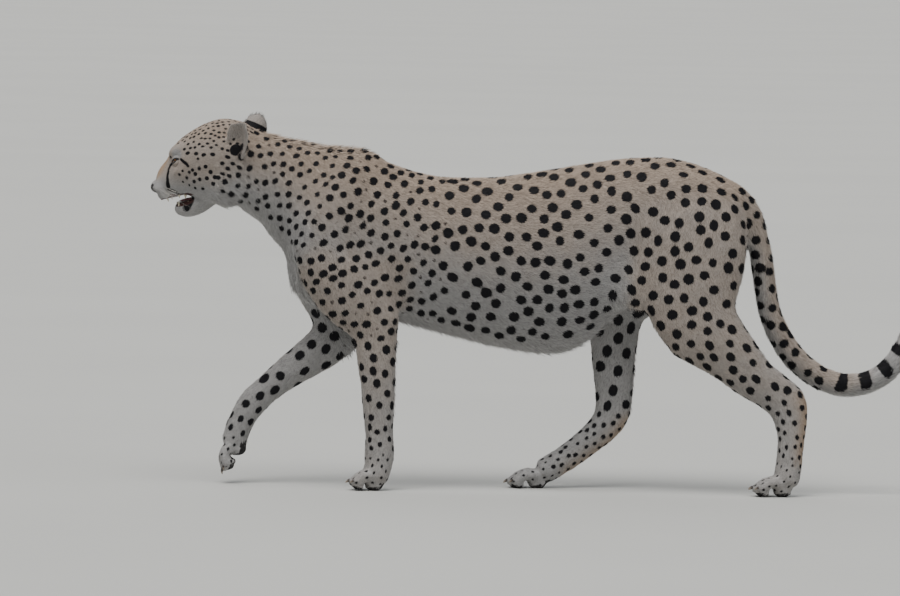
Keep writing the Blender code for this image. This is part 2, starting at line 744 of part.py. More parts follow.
# ---- parting --------------------------------------------------------------------------------
# Boxes that part off one piece each: centre, size, degrees about Y, triangles of the piece
CUTS = (
    ("head", (-0.712, 0.0, 0.815), (0.400, 0.400, 0.400), 26, 1180),
    ("tail_root", (0.690, 0.013, 0.470), (0.110, 0.084, 0.160), -9, 130),
    ("tail_middle", (0.700, 0.020, 0.330), (0.170, 0.084, 0.120), -9, 130),
    ("tail_tip", (1.000, 0.018, 0.330), (0.150, 0.100, 0.300), 0, 120),
    ("tail_lower", (0.815, 0.020, 0.250), (0.280, 0.090, 0.220), 0, 150),
    ("left_forepaw", (-0.215, -0.072, 0.020), (0.160, 0.110, 0.120), 0, 270),
    ("right_forepaw", (-0.548, 0.077, 0.030), (0.160, 0.110, 0.150), 20, 270),
    ("left_hindpaw", (0.690, -0.075, 0.020), (0.200, 0.110, 0.110), 0, 280),
    ("right_hindpaw", (0.100, 0.077, 0.020), (0.190, 0.110, 0.150), 30, 280),
    ("left_metatarsus", (0.740, -0.075, 0.150), (0.160, 0.110, 0.180), 0, 130),
    ("right_metatarsus", (0.280, 0.080, 0.085), (0.280, 0.110, 0.170), 0, 160),
    ("left_forearm", (-0.205, -0.085, 0.200), (0.180, 0.130, 0.300), 0, 190),
    ("right_forearm", (-0.445, 0.085, 0.225), (0.360, 0.130, 0.240), -34, 230),
    ("left_shank", (0.610, -0.085, 0.260), (0.330, 0.130, 0.210), 32, 200),
    ("right_shank", (0.325, 0.090, 0.280), (0.200, 0.110, 0.230), 0, 200),
    ("left_upper_arm", (-0.260, -0.110, 0.440), (0.260, 0.110, 0.200), 0, 160),
    ("right_upper_arm", (-0.300, 0.110, 0.430), (0.230, 0.110, 0.230), 0, 160),
    ("left_thigh", (0.510, -0.104, 0.465), (0.320, 0.104, 0.400), 0, 240),
    ("right_thigh", (0.460, 0.104, 0.490), (0.420, 0.104, 0.370), 0, 240),
    ("neck", (-0.550, 0.0, 0.640), (0.400, 0.400, 0.600), 24, 280),
    ("chest", (-0.300, 0.0, 0.550), (0.440, 0.400, 0.600), 0, 360),
    ("belly", (0.110, 0.0, 0.550), (0.380, 0.400, 0.600), 0, 240),
)
RUMP_TRIANGLES = 420
NOTCHED = (                     # pieces with inner corners, which thinning rounds off
    "neck",
    "chest",
    "belly",
    "left_shank",
    "left_upper_arm",
    "right_upper_arm",
    "left_thigh",
    "right_thigh",
)
JAW_CUT = ((-0.655, 0.0, 0.586), (0.140, 0.140, 0.120), -12)
JAW_TRIANGLES = 280
PLUG_MARGIN = 0.0003            # clearance round each small solid


def thinned(piece, triangles, group=""):
    """Saves faces where the surface is nearly flat. Cut faces stay in their planes."""
    piece.data.calc_loop_triangles()
    fewer = piece.modifiers.new("Fewer faces", "DECIMATE")
    fewer.ratio = min(1.0, triangles / len(piece.data.loop_triangles))
    fewer.vertex_group = group
    fewer.vertex_group_factor = CRISP_FAVOUR
    applied(piece)


def clipped(piece, helpers, within, clear_of):
    """Restores the cut planes that thinning has moved: inside one region, clear of others."""
    cutters = [(box("within", home=helpers, **within), "INTERSECT")] if within else []
    for region in clear_of:
        cutters.append((box("clear", home=helpers, grow=GAP, **region), "DIFFERENCE"))
    for cutter, operation in cutters:
        piece.data = combined(piece, cutter, operation)
        bpy.data.objects.remove(cutter)
    without_crumbs(piece.data)


def parted(body, home, helpers):
    """Named pieces of the body, with the soles cut flat. What is left is the rump."""
    pieces = {}
    regions = []
    for name, centre, size, pitch, triangles in CUTS:
        region = {"centre": centre, "size": size, "pitch": pitch}
        pieces[name] = part_off(body, name, home, helpers, **region)
        if name != "head":
            thinned(pieces[name], triangles)
        if name in NOTCHED:
            clipped(pieces[name], helpers, region, regions)
        if name in PAWS:
            socket(pieces[name], [box("floor", (0, 0, -0.5), (4, 2, 1), helpers)])
        regions.append(region)
    body.name = "rump"
    pieces["rump"] = body
    without_crumbs(body.data)
    thinned(body, RUMP_TRIANGLES)
    clipped(body, helpers, None, regions)
    centre, size, pitch = JAW_CUT
    place = head_pose() @ Vector(centre)
    jaw_region = {"centre": place, "size": size, "pitch": pitch, "yaw": -math.degrees(HEAD_YAW)}
    pieces["lower_jaw"] = part_off(pieces["head"], "lower_jaw", home, helpers, **jaw_region)
    for name in ("head", "lower_jaw"):
        socket(pieces[name], [posed(lofted("mouth_opening", MOUTH, helpers))])
    thinned(pieces["lower_jaw"], JAW_TRIANGLES)
    thinned(pieces["head"], CUTS[0][-1] - JAW_TRIANGLES)
    clipped(pieces["lower_jaw"], helpers, jaw_region, [])
    clipped(pieces["head"], helpers, regions[0], [jaw_region])
    return pieces


def fitted(pieces, home, helpers):
    """Small solids, each with a socket cut for it in the pieces it meets."""
    small = []

    def fit(maker, hosts, *args):
        solid = maker(*args, home)
        for host in hosts:
            socket(pieces[host], [maker(*args, helpers, PLUG_MARGIN)])
        small.append(solid)
        return solid

    fit(nose, ["head"])
    fit(tongue, ["head", "lower_jaw"])
    for side in SIDES:
        fit(eye, ["head"], side)
        fit(ear, ["head", "neck"], side)
        fit(canine, ["head"], "upper", side)
        fit(canine, ["lower_jaw"], "lower", side)
    for paw in PAWS:
        for number in range(len(TOE_SPREAD)):
            fit(claw, [paw], paw, number)
    return small


def main():
    removed_objects()
    home = collection_named("cheetah")
    helpers = collection_named("helpers")
    pieces = parted(whole_body(home, helpers), home, helpers)
    solids = [*pieces.values(), *fitted(pieces, home, helpers)]
    finishes = {name: material_named(name, *finish) for name, finish in FINISHES.items()}
    for solid in solids:
        solid.data.materials.clear()
        solid.data.materials.append(finishes[finish_of(solid.name)])
        solid.data.name = solid.name
    centred(solids)


def centred(solids):
    """Moves the model so that its box stands on the origin, midway along and across."""
    corners = np.array([vertex.co for solid in solids for vertex in solid.data.vertices])
    low, high = corners.min(axis=0), corners.max(axis=0)
    shift = Matrix.Translation((-(low[0] + high[0]) / 2, -(low[1] + high[1]) / 2, -low[2]))
    for solid in solids:
        solid.data.transform(shift)


main()
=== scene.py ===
"""A walking cheetah as a still model: skin, coat, eyes, nose, mouth, whiskers, pads and claws."""
import math

import bmesh
import bpy
import numpy as np
from bpy.props import FloatProperty, FloatVectorProperty, PointerProperty
from bpy.types import Operator, Panel, PropertyGroup
from mathutils import Euler, Matrix, Vector


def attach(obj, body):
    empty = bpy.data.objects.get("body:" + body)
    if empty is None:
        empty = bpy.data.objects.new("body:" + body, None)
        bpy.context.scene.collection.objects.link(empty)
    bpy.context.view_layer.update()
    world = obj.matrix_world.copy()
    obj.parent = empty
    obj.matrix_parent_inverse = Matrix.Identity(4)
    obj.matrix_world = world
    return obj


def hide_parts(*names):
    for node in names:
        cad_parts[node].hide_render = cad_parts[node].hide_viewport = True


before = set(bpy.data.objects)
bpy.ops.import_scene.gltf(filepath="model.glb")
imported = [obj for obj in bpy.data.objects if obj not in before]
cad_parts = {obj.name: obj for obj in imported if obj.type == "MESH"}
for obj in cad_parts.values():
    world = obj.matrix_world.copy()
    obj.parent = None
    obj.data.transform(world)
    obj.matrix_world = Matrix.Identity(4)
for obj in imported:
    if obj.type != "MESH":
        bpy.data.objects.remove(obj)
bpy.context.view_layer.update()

bl_info = {
    "name": "Cheetah",
    "version": (1, 0, 0),
    "blender": (4, 5, 0),
    "location": "3D View > Sidebar > Cheetah",
    "description": "Builds a cheetah's skin, coat and features round its packed solids",
    "category": "Add Mesh",
}

# ---- the animal's build, in metres, before it is centred -------------------------------------
CENTRING = np.array((-0.14404, 0.00063, 0.0))
HEAD_PIVOT = Vector((-0.500, 0.0, 0.715))
HEAD_YAW = math.radians(14)
HEAD_ROLL = math.radians(7)
LEFT, RIGHT = -1, 1
SIDES = {LEFT: "left", RIGHT: "right"}

LIMB_PARTS = {
    "fore": ("upper_arm", "forearm", "forepaw"),
    "hind": ("thigh", "shank", "metatarsus", "hindpaw"),
}
FLESH = (
    "head", "lower_jaw", "left_ear", "right_ear", "neck", "chest", "belly", "rump",
    "tail_root", "tail_middle", "tail_lower", "tail_tip",
    *(f"{hand}_{part}" for parts in LIMB_PARTS.values()
      for hand in SIDES.values() for part in parts),
)
FILLERS = ("left_eye", "right_eye", "nose")     # close their sockets in the skin

# Lines down the middle of each part, which the hair follows: x, y outwards, z
HEAD_LINE = ((-0.724, 0, 0.664), (-0.668, 0, 0.690), (-0.600, 0, 0.722), (-0.530, 0, 0.735),
             (-0.470, 0, 0.715))
TRUNK_LINE = ((-0.500, 0, 0.715), (-0.450, 0, 0.692), (-0.378, 0, 0.640), (-0.300, 0, 0.590),
              (-0.190, 0, 0.560), (-0.090, 0, 0.532), (0.020, 0, 0.515), (0.120, 0, 0.513),
              (0.200, 0, 0.520), (0.270, 0, 0.545), (0.345, 0, 0.590), (0.440, 0, 0.620),
              (0.525, 0, 0.625), (0.600, 0, 0.625))
TAIL_LINE = ((0.588, 0.000, 0.668), (0.621, 0.002, 0.628), (0.640, 0.005, 0.580),
             (0.653, 0.009, 0.525), (0.661, 0.013, 0.470), (0.672, 0.016, 0.415),
             (0.692, 0.019, 0.365), (0.726, 0.021, 0.313), (0.772, 0.022, 0.272),
             (0.826, 0.022, 0.249), (0.868, 0.022, 0.247), (0.910, 0.022, 0.259),
             (0.948, 0.020, 0.288), (0.974, 0.018, 0.328), (0.988, 0.016, 0.372),
             (0.992, 0.014, 0.412))
NEAR_FORE_LINE = ((-0.290, 0.060, 0.700), (-0.322, 0.074, 0.585), (-0.275, 0.082, 0.450),
                  (-0.212, 0.080, 0.372), (-0.204, 0.077, 0.247), (-0.198, 0.073, 0.122),
                  (-0.199, 0.072, 0.060), (-0.215, 0.072, 0.028), (-0.262, 0.072, 0.014))
FAR_FORE_LINE = ((-0.290, 0.060, 0.700), (-0.322, 0.074, 0.585), (-0.318, 0.082, 0.430),
                 (-0.276, 0.084, 0.352), (-0.400, 0.083, 0.258), (-0.488, 0.079, 0.180),
                 (-0.526, 0.077, 0.098), (-0.533, 0.077, 0.076), (-0.550, 0.077, 0.034))
NEAR_HIND_LINE = ((0.510, 0.050, 0.680), (0.502, 0.071, 0.540), (0.492, 0.082, 0.405),
                  (0.583, 0.083, 0.318), (0.682, 0.078, 0.236), (0.722, 0.075, 0.168),
                  (0.721, 0.075, 0.085), (0.708, 0.075, 0.030), (0.644, 0.075, 0.014))
FAR_HIND_LINE = ((0.510, 0.050, 0.680), (0.446, 0.072, 0.552), (0.350, 0.085, 0.425),
                 (0.326, 0.085, 0.300), (0.325, 0.080, 0.170), (0.268, 0.078, 0.104),
                 (0.178, 0.077, 0.041), (0.160, 0.077, 0.026), (0.098, 0.077, 0.012))
LIMB_LINES = {
    ("fore", LEFT): NEAR_FORE_LINE, ("fore", RIGHT): FAR_FORE_LINE,
    ("hind", LEFT): NEAR_HIND_LINE, ("hind", RIGHT): FAR_HIND_LINE,
}
# Height of the back and of the belly at places along the trunk: x, top, underside
TRUNK_HEIGHTS = ((-0.560, 0.800, 0.640), (-0.450, 0.790, 0.590), (-0.395, 0.765, 0.520),
                 (-0.350, 0.765, 0.412), (-0.280, 0.764, 0.388), (-0.190, 0.738, 0.377),
                 (-0.090, 0.711, 0.352), (0.020, 0.706, 0.325), (0.120, 0.719, 0.307),
                 (0.200, 0.733, 0.303), (0.270, 0.746, 0.334), (0.345, 0.757, 0.410),
                 (0.440, 0.759, 0.440), (0.525, 0.738, 0.440), (0.620, 0.690, 0.440))

# ---- the coat --------------------------------------------------------------------------------
# Part: line, depth of the coat, tuft length, tuft width, tufts per square metre, spot spacing
PARTS = {
    "head": ("head", 0.0016, 0.0062, 0.0010, 430_000, 0.0195),
    "lower_jaw": ("head", 0.0014, 0.0060, 0.0010, 400_000, 0.0185),
    "ear": ("ear", 0.0006, 0.0065, 0.0010, 420_000, 0.0),
    "neck": ("trunk", 0.0042, 0.0112, 0.0016, 175_000, 0.0250),
    "chest": ("trunk", 0.0046, 0.0120, 0.0018, 145_000, 0.0290),
    "belly": ("trunk", 0.0050, 0.0132, 0.0018, 138_000, 0.0370),
    "rump": ("trunk", 0.0046, 0.0124, 0.0018, 138_000, 0.0370),
    "tail": ("tail", 0.0060, 0.0150, 0.0020, 140_000, 0.0330),
    "upper_arm": ("fore", 0.0042, 0.0106, 0.0016, 160_000, 0.0290),
    "forearm": ("fore", 0.0026, 0.0095, 0.0014, 195_000, 0.0340),
    "forepaw": ("fore", 0.0012, 0.0055, 0.0011, 330_000, 0.0190),
    "thigh": ("hind", 0.0042, 0.0115, 0.0017, 145_000, 0.0370),
    "shank": ("hind", 0.0032, 0.0105, 0.0015, 170_000, 0.0350),
    "metatarsus": ("hind", 0.0022, 0.0085, 0.0013, 215_000, 0.0300),
    "hindpaw": ("hind", 0.0012, 0.0055, 0.0011, 330_000, 0.0180),
}
PART_NAMES = tuple(PARTS)
PART_KINDS = np.array([row[0] for row in PARTS.values()])
PART_SIZES = np.array([row[1:] for row in PARTS.values()], float)

GROWTH = 0.0005                 # of each solid, so that the clearances between them close
SKIN_GRAIN = 0.0029
SKIN_TRIANGLES = 164_000
THINNING_NOISE = 0.0005
WEIGHT_STEPS = 10               # in which a smoothing group's weights are given
SEED = 21
FACE_REACH = 0.03               # the most arc length that one face of the skin spans on its map
MAP_SHAKE = 0.00004             # keeps every face of the map from being a line
HEAD_MIDDLE = (-0.62, 0, 0.72)
HEAD_REACH = 0.155              # from its middle, past which the skin is treated as trunk
EYE_REGION = (-0.655, 0, 0.731)                 # middle of both eyes, seen from the side

# The head, in its straight pose
EYE_RADIUS = 0.0150
CORNEA = 0.045                  # its bulge, as a share of the eye's radius
EYE_CENTRE = (-0.6540, 0.0310, 0.7310)          # y is outwards
GAZE = (-0.55, 0.81, 0.20)
SLIT_LINE = (0.90, 0.0, 0.42)                   # from the inner corner of the eye to the outer
SLIT_HALF_LENGTH = 0.55                         # as shares of the eye's radius
SLIT_HALF_HEIGHT = 0.17
LID = 0.0016
LID_REACH = 0.034               # from the middle of the eye, within which skin is drawn to it
HIDDEN = 0.0030                 # of the skin at the slit behind the eye's surface
NOSE_CENTRE = (-0.7145, 0.0, 0.6665)
NOSE_RADII = (0.0148, 0.0168, 0.0132)
OVERHANG = 0.0105               # of the nose past the lip under it
# Places on the head where the skin's faces are divided again: place, reach
FINE_PLACES = (
    ((-0.657, -0.038, 0.733), 0.027), ((-0.657, 0.038, 0.733), 0.027),
    ((-0.658, -0.040, 0.734), 0.017), ((-0.658, 0.040, 0.734), 0.017),
    ((-0.698, 0.0, 0.660), 0.036),
)


# ---- plain helpers ---------------------------------------------------------------------------
def unit(vectors):
    """Each vector divided by its length."""
    return vectors / np.maximum(np.linalg.norm(vectors, axis=-1, keepdims=True), 1e-12)


def lengths_of(vectors):
    """The length of each vector."""
    return np.linalg.norm(vectors, axis=1)


def shares_along(vectors, axes):
    """Each vector's length along its own axis."""
    return (vectors * axes).sum(axis=1)


def squared_to(vectors, axes):
    """Each vector less what lies along its own axis."""
    return vectors - shares_along(vectors, axes)[:, None] * axes


def turns(count):
    """Angles that divide a whole turn evenly."""
    return np.linspace(0, 2 * math.pi, count, endpoint=False)


def ramp(values, low, high):
    """0 below low, 1 above high, and 3t^2 - 2t^3 between them."""
    share = np.clip((values - low) / (high - low), 0.0, 1.0)
    return share * share * (3.0 - 2.0 * share)


def centred(points):
    """Moves points from the drafting origin to the frame's."""
    return np.asarray(points, float) + CENTRING


def mirrored(line, side):
    """A line whose y is outwards, on that side of the animal, in the frame."""
    return centred(np.asarray(line, float) * (1, side, 1))


def head_pose():
    """Matrix from the head's straight pose to its turned and tilted one, in the frame."""
    turn = Euler((0, 0, -HEAD_YAW)).to_matrix() @ Euler((HEAD_ROLL, 0, 0)).to_matrix()
    about = Matrix.Translation(HEAD_PIVOT) @ turn.to_4x4() @ Matrix.Translation(-HEAD_PIVOT)
    return Matrix.Translation(CENTRING) @ about


def placed_by(matrix, points):
    """Points put through a matrix."""
    pose = np.array(matrix)
    return np.asarray(points, float) @ pose[:3, :3].T + pose[:3, 3]


def posed(points):
    """Points of the straight head, turned with the head."""
    return placed_by(head_pose(), points)


def straightened(points):
    """Points of the turned head, brought back to its straight pose."""
    return placed_by(head_pose().inverted(), points)


def read(items, name, width=1, kind=np.float32):
    """One property of every item of a collection, in rows of that width."""
    found = np.empty(len(items) * width, kind)
    items.foreach_get(name, found)
    return found.reshape(-1, width) if width > 1 else found


def corners_of(mesh):
    return read(mesh.vertices, "co", 3).astype(float)


def normals_of(mesh):
    return read(mesh.vertex_normals, "vector", 3).astype(float)


def edges_of(mesh):
    return read(mesh.edges, "vertices", 2, np.int32)


def triangles_of(mesh):
    mesh.calc_loop_triangles()
    return read(mesh.loop_triangles, "vertices", 3, np.int32)


def moved(mesh, places):
    """Puts the corners at new places."""
    mesh.vertices.foreach_set("co", np.asarray(places, np.float32).ravel())
    mesh.update()


def stored(mesh, name, values):
    """Writes one number or one vector for each corner as a named attribute."""
    values = np.asarray(values, np.float32)
    kind = "FLOAT" if values.ndim == 1 else "FLOAT_VECTOR"
    layer = mesh.attributes.get(name) or mesh.attributes.new(name, kind, "POINT")
    layer.data.foreach_set("value" if values.ndim == 1 else "vector", values.ravel())


def fetched(mesh, name):
    """A named attribute, as one number or one vector for each corner."""
    layer = mesh.attributes[name]
    if layer.data_type == "FLOAT":
        return read(layer.data, "value").astype(float)
    return read(layer.data, "vector", 3).astype(float)


def mapped(mesh, coords):
    """Writes the unwrap, as one place for each corner of each face."""
    layer = mesh.uv_layers.new(name="OFBake")
    layer.uv.foreach_set("vector", coords.astype(np.float32).ravel())


def mesh_from(name, corners, faces):
    """A triangle or quad mesh from whole arrays."""
    mesh = bpy.data.meshes.new(name)
    sides = faces.shape[1]
    mesh.vertices.add(len(corners))
    mesh.vertices.foreach_set("co", np.asarray(corners, np.float32).ravel())
    mesh.loops.add(faces.size)
    mesh.loops.foreach_set("vertex_index", np.asarray(faces, np.int32).ravel())
    mesh.polygons.add(len(faces))
    mesh.polygons.foreach_set("loop_start", np.arange(0, faces.size, sides, dtype=np.int32))
    mesh.polygons.foreach_set("use_smooth", np.ones(len(faces), bool))
    mesh.update(calc_edges=True)
    return mesh


def linked(name, data):
    """An object with that data, in the scene."""
    made = bpy.data.objects.new(name, data)
    bpy.context.scene.collection.objects.link(made)
    return made


def shown(mesh, material, replaces=()):
    """A finished piece in the scene, which rides on the one body."""
    piece = linked(mesh.name, mesh)
    mesh.materials.clear()
    mesh.materials.append(material)
    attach(piece, "root")
    if replaces:
        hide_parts(*replaces)
    return piece


def finished_mesh(carrier, name):
    """The mesh with the carrier's modifiers applied. The carrier goes."""
    graph = bpy.context.evaluated_depsgraph_get()
    mesh = bpy.data.meshes.new_from_object(carrier.evaluated_get(graph))
    unfinished = carrier.data
    bpy.data.objects.remove(carrier)
    bpy.data.meshes.remove(unfinished)
    mesh.name = name
    return mesh


def spans(points, line):
    """For each span of a jointed line: its number, how far along it each point's nearest place
    is, as a share, that place, and the distance to it."""
    for number, span in enumerate(np.diff(line, axis=0)):
        share = np.clip((points - line[number]) @ span / max(span @ span, 1e-12), 0, 1)
        foot = line[number] + share[:, None] * span
        yield number, share, foot, lengths_of(points - foot)


def followed(points, line):
    """Nearest place on a jointed line: arc length there, the place, direction and distance."""
    line = np.asarray(line, float)
    lengths = lengths_of(np.diff(line, axis=0))
    starts = np.concatenate(([0.0], np.cumsum(lengths)))
    bends = unit(np.gradient(line, axis=0))
    nearest, arc = np.full(len(points), np.inf), np.zeros(len(points))
    place, heading = np.zeros((len(points), 3)), np.zeros((len(points), 3))
    for number, share, foot, away in spans(points, line):
        closer = away < nearest
        nearest[closer] = away[closer]
        arc[closer] = (starts[number] + share * lengths[number])[closer]
        place[closer] = foot[closer]
        turned = bends[number] + share[:, None] * (bends[number + 1] - bends[number])
        heading[closer] = turned[closer]
    return arc, place, unit(heading), nearest


def batches(points, targets, reach, size):
    """Points in batches along x, each with the targets up to a reach past its ends.

    Gives the rows of the points, the rows of the targets, and how far apart they are: the
    distance squared, less the square of the point."""
    order, ranks = np.argsort(points[:, 0]), np.argsort(targets[:, 0])
    sorted_targets = targets[ranks].astype(np.float32)
    squares = (sorted_targets**2).sum(axis=1)
    for start in range(0, len(points), size):
        rows = order[start:start + size]
        part = points[rows].astype(np.float32)
        low = np.searchsorted(sorted_targets[:, 0], part[0, 0] - reach)
        high = np.searchsorted(sorted_targets[:, 0], part[-1, 0] + reach)
        near = sorted_targets[low:high]
        yield rows, ranks[low:high], squares[low:high] - 2 * part @ near.T


def nearest_rows(points, targets):
    """Index of the nearest target for each point, seen among those a little way along x."""
    found = np.empty(len(points), int)
    for rows, close, apart in batches(points, targets, 0.05, 1500):
        found[rows] = close[apart.argmin(axis=1)]
    return found


def evened(field, edges, passes):
    """Each corner's value moved halfway to the mean of its neighbours, several times."""
    count = len(field)
    flat = field.reshape(count, -1).copy()
    degree = np.maximum(np.bincount(edges.ravel(), minlength=count), 1)
    for _ in range(passes):
        for column in range(flat.shape[1]):
            values = flat[:, column]
            total = np.bincount(edges[:, 0], values[edges[:, 1]], count)
            total += np.bincount(edges[:, 1], values[edges[:, 0]], count)
            flat[:, column] = values + 0.5 * (total / degree - values)
    return flat.reshape(field.shape)


def among(part, *names):
    """Whether each part's number is that of one of the named parts."""
    return np.isin(part, [PART_NAMES.index(name) for name in names])


def numbered(mesh, name):
    """A named attribute that holds whole numbers."""
    return fetched(mesh, name).round().astype(int)


def part_of(node):
    """The kind of part that a solid is, whichever side it is on."""
    for name in PART_NAMES:
        if node == name or node.endswith("_" + name) or node.startswith(name + "_"):
            return name
    raise ValueError(f"{node} belongs to no part")


# ---- skin ------------------------------------------------------------------------------------
def fused_flesh():
    """All flesh solids as one mesh of overlapping closed shells, each grown a little."""
    corners, faces, offset = [], [], 0
    for node in (*FLESH, *FILLERS):
        work = bmesh.new()
        work.from_mesh(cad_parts[node].data)
        bmesh.ops.remove_doubles(work, verts=work.verts, dist=0.00001)
        bmesh.ops.triangulate(work, faces=work.faces)
        work.normal_update()
        for vert in work.verts:
            vert.co += vert.normal * GROWTH
        solid = bpy.data.meshes.new(node + "_grown")
        work.to_mesh(solid)
        work.free()
        corners.append(corners_of(solid))
        faces.append(triangles_of(solid) + offset)
        offset += len(corners[-1])
        bpy.data.meshes.remove(solid)
    return mesh_from("flesh", np.vstack(corners), np.vstack(faces))


def headness(points, blend):
    """1 on the head, falling to 0 over the given distance within its reach."""
    return ramp(HEAD_REACH - lengths_of(points - centred(HEAD_MIDDLE)), 0, blend)


def crispness(points):
    """1 on the head and paws, 0 on the trunk, and between them on the legs and tail."""
    crisp = headness(points, 0.05)
    for (_, side), line in LIMB_LINES.items():
        toes = mirrored(line, side)[-2:].mean(axis=0)
        crisp = np.maximum(crisp, ramp(0.10 - lengths_of(points - toes), 0, 0.04))
    return crisp


def grouped(carrier, name, weight):
    """A vertex group whose weights follow an array, in steps."""
    group = carrier.vertex_groups.new(name=name)
    levels = np.round(weight * WEIGHT_STEPS).astype(int)
    for level in np.unique(levels):
        group.add(np.flatnonzero(levels == level).tolist(), level / WEIGHT_STEPS, "REPLACE")


def softened(carrier, group, passes):
    """A smoothing modifier that works where the group has weight."""
    soft = carrier.modifiers.new("Soft " + group, "SMOOTH")
    soft.vertex_group = group
    soft.iterations = passes
    soft.factor = 0.5


def divided(mesh, place, reach):
    """Halves the edges that lie within reach of a place on the head."""
    ends = lengths_of(corners_of(mesh) - posed([place])[0]) < reach
    chosen = ends[edges_of(mesh)].all(axis=1)
    work = bmesh.new()
    work.from_mesh(mesh)
    work.edges.ensure_lookup_table()
    near = [work.edges[number] for number in np.flatnonzero(chosen)]
    bmesh.ops.subdivide_edges(work, edges=near, cuts=1, use_grid_fill=True)
    bmesh.ops.triangulate(work, faces=[face for face in work.faces if len(face.verts) > 4])
    work.to_mesh(mesh)
    work.free()


def bare_skin():
    """One closed skin over all the flesh, smooth on the trunk and finer on the head.

    A little noise before the faces are thinned keeps them near one size, and the smoothing
    takes it out again."""
    carrier = linked("flesh", fused_flesh())
    fused = carrier.modifiers.new("Fused", "REMESH")
    fused.mode = "VOXEL"
    fused.voxel_size = SKIN_GRAIN
    mesh = finished_mesh(carrier, "fused")
    points = corners_of(mesh)
    crisp = crispness(points)
    noise = np.random.default_rng(SEED).normal(0, THINNING_NOISE, len(points))
    moved(mesh, points + normals_of(mesh) * (noise * (1.15 - crisp))[:, None])
    carrier = linked("skin", mesh)
    grouped(carrier, "plain", np.maximum(1 - crisp, 0.10))
    fewer = carrier.modifiers.new("Fewer", "DECIMATE")
    fewer.ratio = SKIN_TRIANGLES / (2 * len(mesh.polygons))
    fewer.vertex_group = "plain"
    fewer.vertex_group_factor = 0.05
    mesh = finished_mesh(carrier, "skin")
    for place, reach in FINE_PLACES:
        divided(mesh, place, reach)
    points = corners_of(mesh)
    crisp = crispness(points)
    limbs = ramp(0.33 - points[:, 2], 0, 0.08)
    limbs = np.maximum(limbs, ramp(points[:, 0], 0.46, 0.52))
    limbs = np.maximum(limbs, ramp(-points[:, 0], 0.57, 0.66))
    carrier = linked("skin", mesh)
    carrier.vertex_groups.clear()
    grouped(carrier, "all", np.ones(len(points)))
    grouped(carrier, "flesh", np.maximum(1 - crisp, headness(points, 0.04)))
    grouped(carrier, "trunk", (1 - crisp) * (1 - limbs))
    grouped(carrier, "fine", ramp(0.03 - lengths_of(
        straightened(points) * (1, 0, 1) - EYE_REGION), 0, 0.008))
    for group, passes in (("all", 3), ("fine", 14), ("flesh", 9), ("trunk", 26)):
        softened(carrier, group, passes)
    return finished_mesh(carrier, "skin")


# ---- what varies over the skin ---------------------------------------------------------------
def ear_axes(side):
    """Base, upward and facing directions of an ear, in the frame."""
    back, out = math.radians(18), math.radians(24)
    leaning = Euler((-side * out, back, 0)).to_matrix()
    turned = leaning @ Euler((0, 0, -side * math.radians(64))).to_matrix()
    pose = head_pose().to_3x3()
    base = posed([(-0.5120, side * 0.0460, 0.7580)])[0]
    return base, np.array(pose @ turned @ Vector((0, 0, 1))), np.array(
        pose @ turned @ Vector((-1, 0, 0)))


def solid_samples():
    """Corners and middles of faces of all flesh solids, with the part and side of each."""
    places, parts, sides = [], [], []
    for node in FLESH:
        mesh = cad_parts[node].data
        corners = corners_of(mesh)
        samples = np.vstack((corners, corners[triangles_of(mesh)].mean(axis=1)))
        places.append(samples)
        parts.append(np.full(len(samples), PART_NAMES.index(part_of(node))))
        sides.append(np.full(len(samples), RIGHT if node.startswith("right") else LEFT))
    return np.vstack(places), np.concatenate(parts), np.concatenate(sides)


def skin_fields(mesh):
    """Part, side, heading of the hair, arc length and share of the girth for each corner."""
    points, normals = corners_of(mesh), normals_of(mesh)
    places, parts, sides = solid_samples()
    nearest = nearest_rows(points, places)
    part, side = parts[nearest], sides[nearest]
    _, _, _, from_tail = followed(points, centred(TAIL_LINE))
    dock = (from_tail < 0.040) & (points[:, 0] > 0.462) & among(part, "rump")
    part[dock] = PART_NAMES.index("tail")
    kinds = PART_KINDS[part]
    count = len(points)
    arc, girth = np.zeros(count), np.zeros(count)
    heading, centre = np.zeros((count, 3)), points.copy()
    jobs = [("head", posed(HEAD_LINE), kinds == "head"),
            ("trunk", centred(TRUNK_LINE), kinds == "trunk"),
            ("tail", centred(TAIL_LINE), kinds == "tail")]
    for (limb, hand), line in LIMB_LINES.items():
        jobs.append((limb, mirrored(line, hand), (kinds == limb) & (side == hand)))
    for kind, line, chosen in jobs:
        arc[chosen], foot, direction, _ = followed(points[chosen], line)
        centre[chosen], heading[chosen] = foot, direction
        out = points[chosen] - foot
        upward = np.array((-1.0, 0, 0)) if kind in ("fore", "hind") else np.array((0, 0, 1.0))
        level = unit(np.cross(direction, upward))
        raised = np.cross(level, direction)
        turn = np.arctan2(shares_along(out, level), shares_along(out, raised))
        girth[chosen] = turn / (2 * math.pi)
    for hand in SIDES:
        chosen = (kinds == "ear") & (side == hand)
        base, upward, facing = ear_axes(hand)
        out = points[chosen] - base
        heading[chosen] = upward
        arc[chosen] = out @ upward
        centre[chosen] = base
        girth[chosen] = np.arctan2(out @ np.cross(upward, facing), out @ facing + 0.02) / 6.3
    for kind, droop in (("trunk", 0.40), ("head", 0.28)):
        heading[:, 2] -= droop * (np.abs(normals[:, 1]) * (kinds == kind))
    edges = edges_of(mesh)
    heading = evened(heading, edges, 24)
    heading = unit(squared_to(heading, normals))
    return points, normals, part, side, kinds, arc, girth, heading, centre, edges


def trunk_height(points):
    """0 at the underside of the trunk and 1 along the back."""
    table = np.array(TRUNK_HEIGHTS)
    along = points[:, 0] - CENTRING[0]
    top = np.interp(along, table[:, 0], table[:, 1])
    under = np.interp(along, table[:, 0], table[:, 2])
    return (points[:, 2] - under) / (top - under)


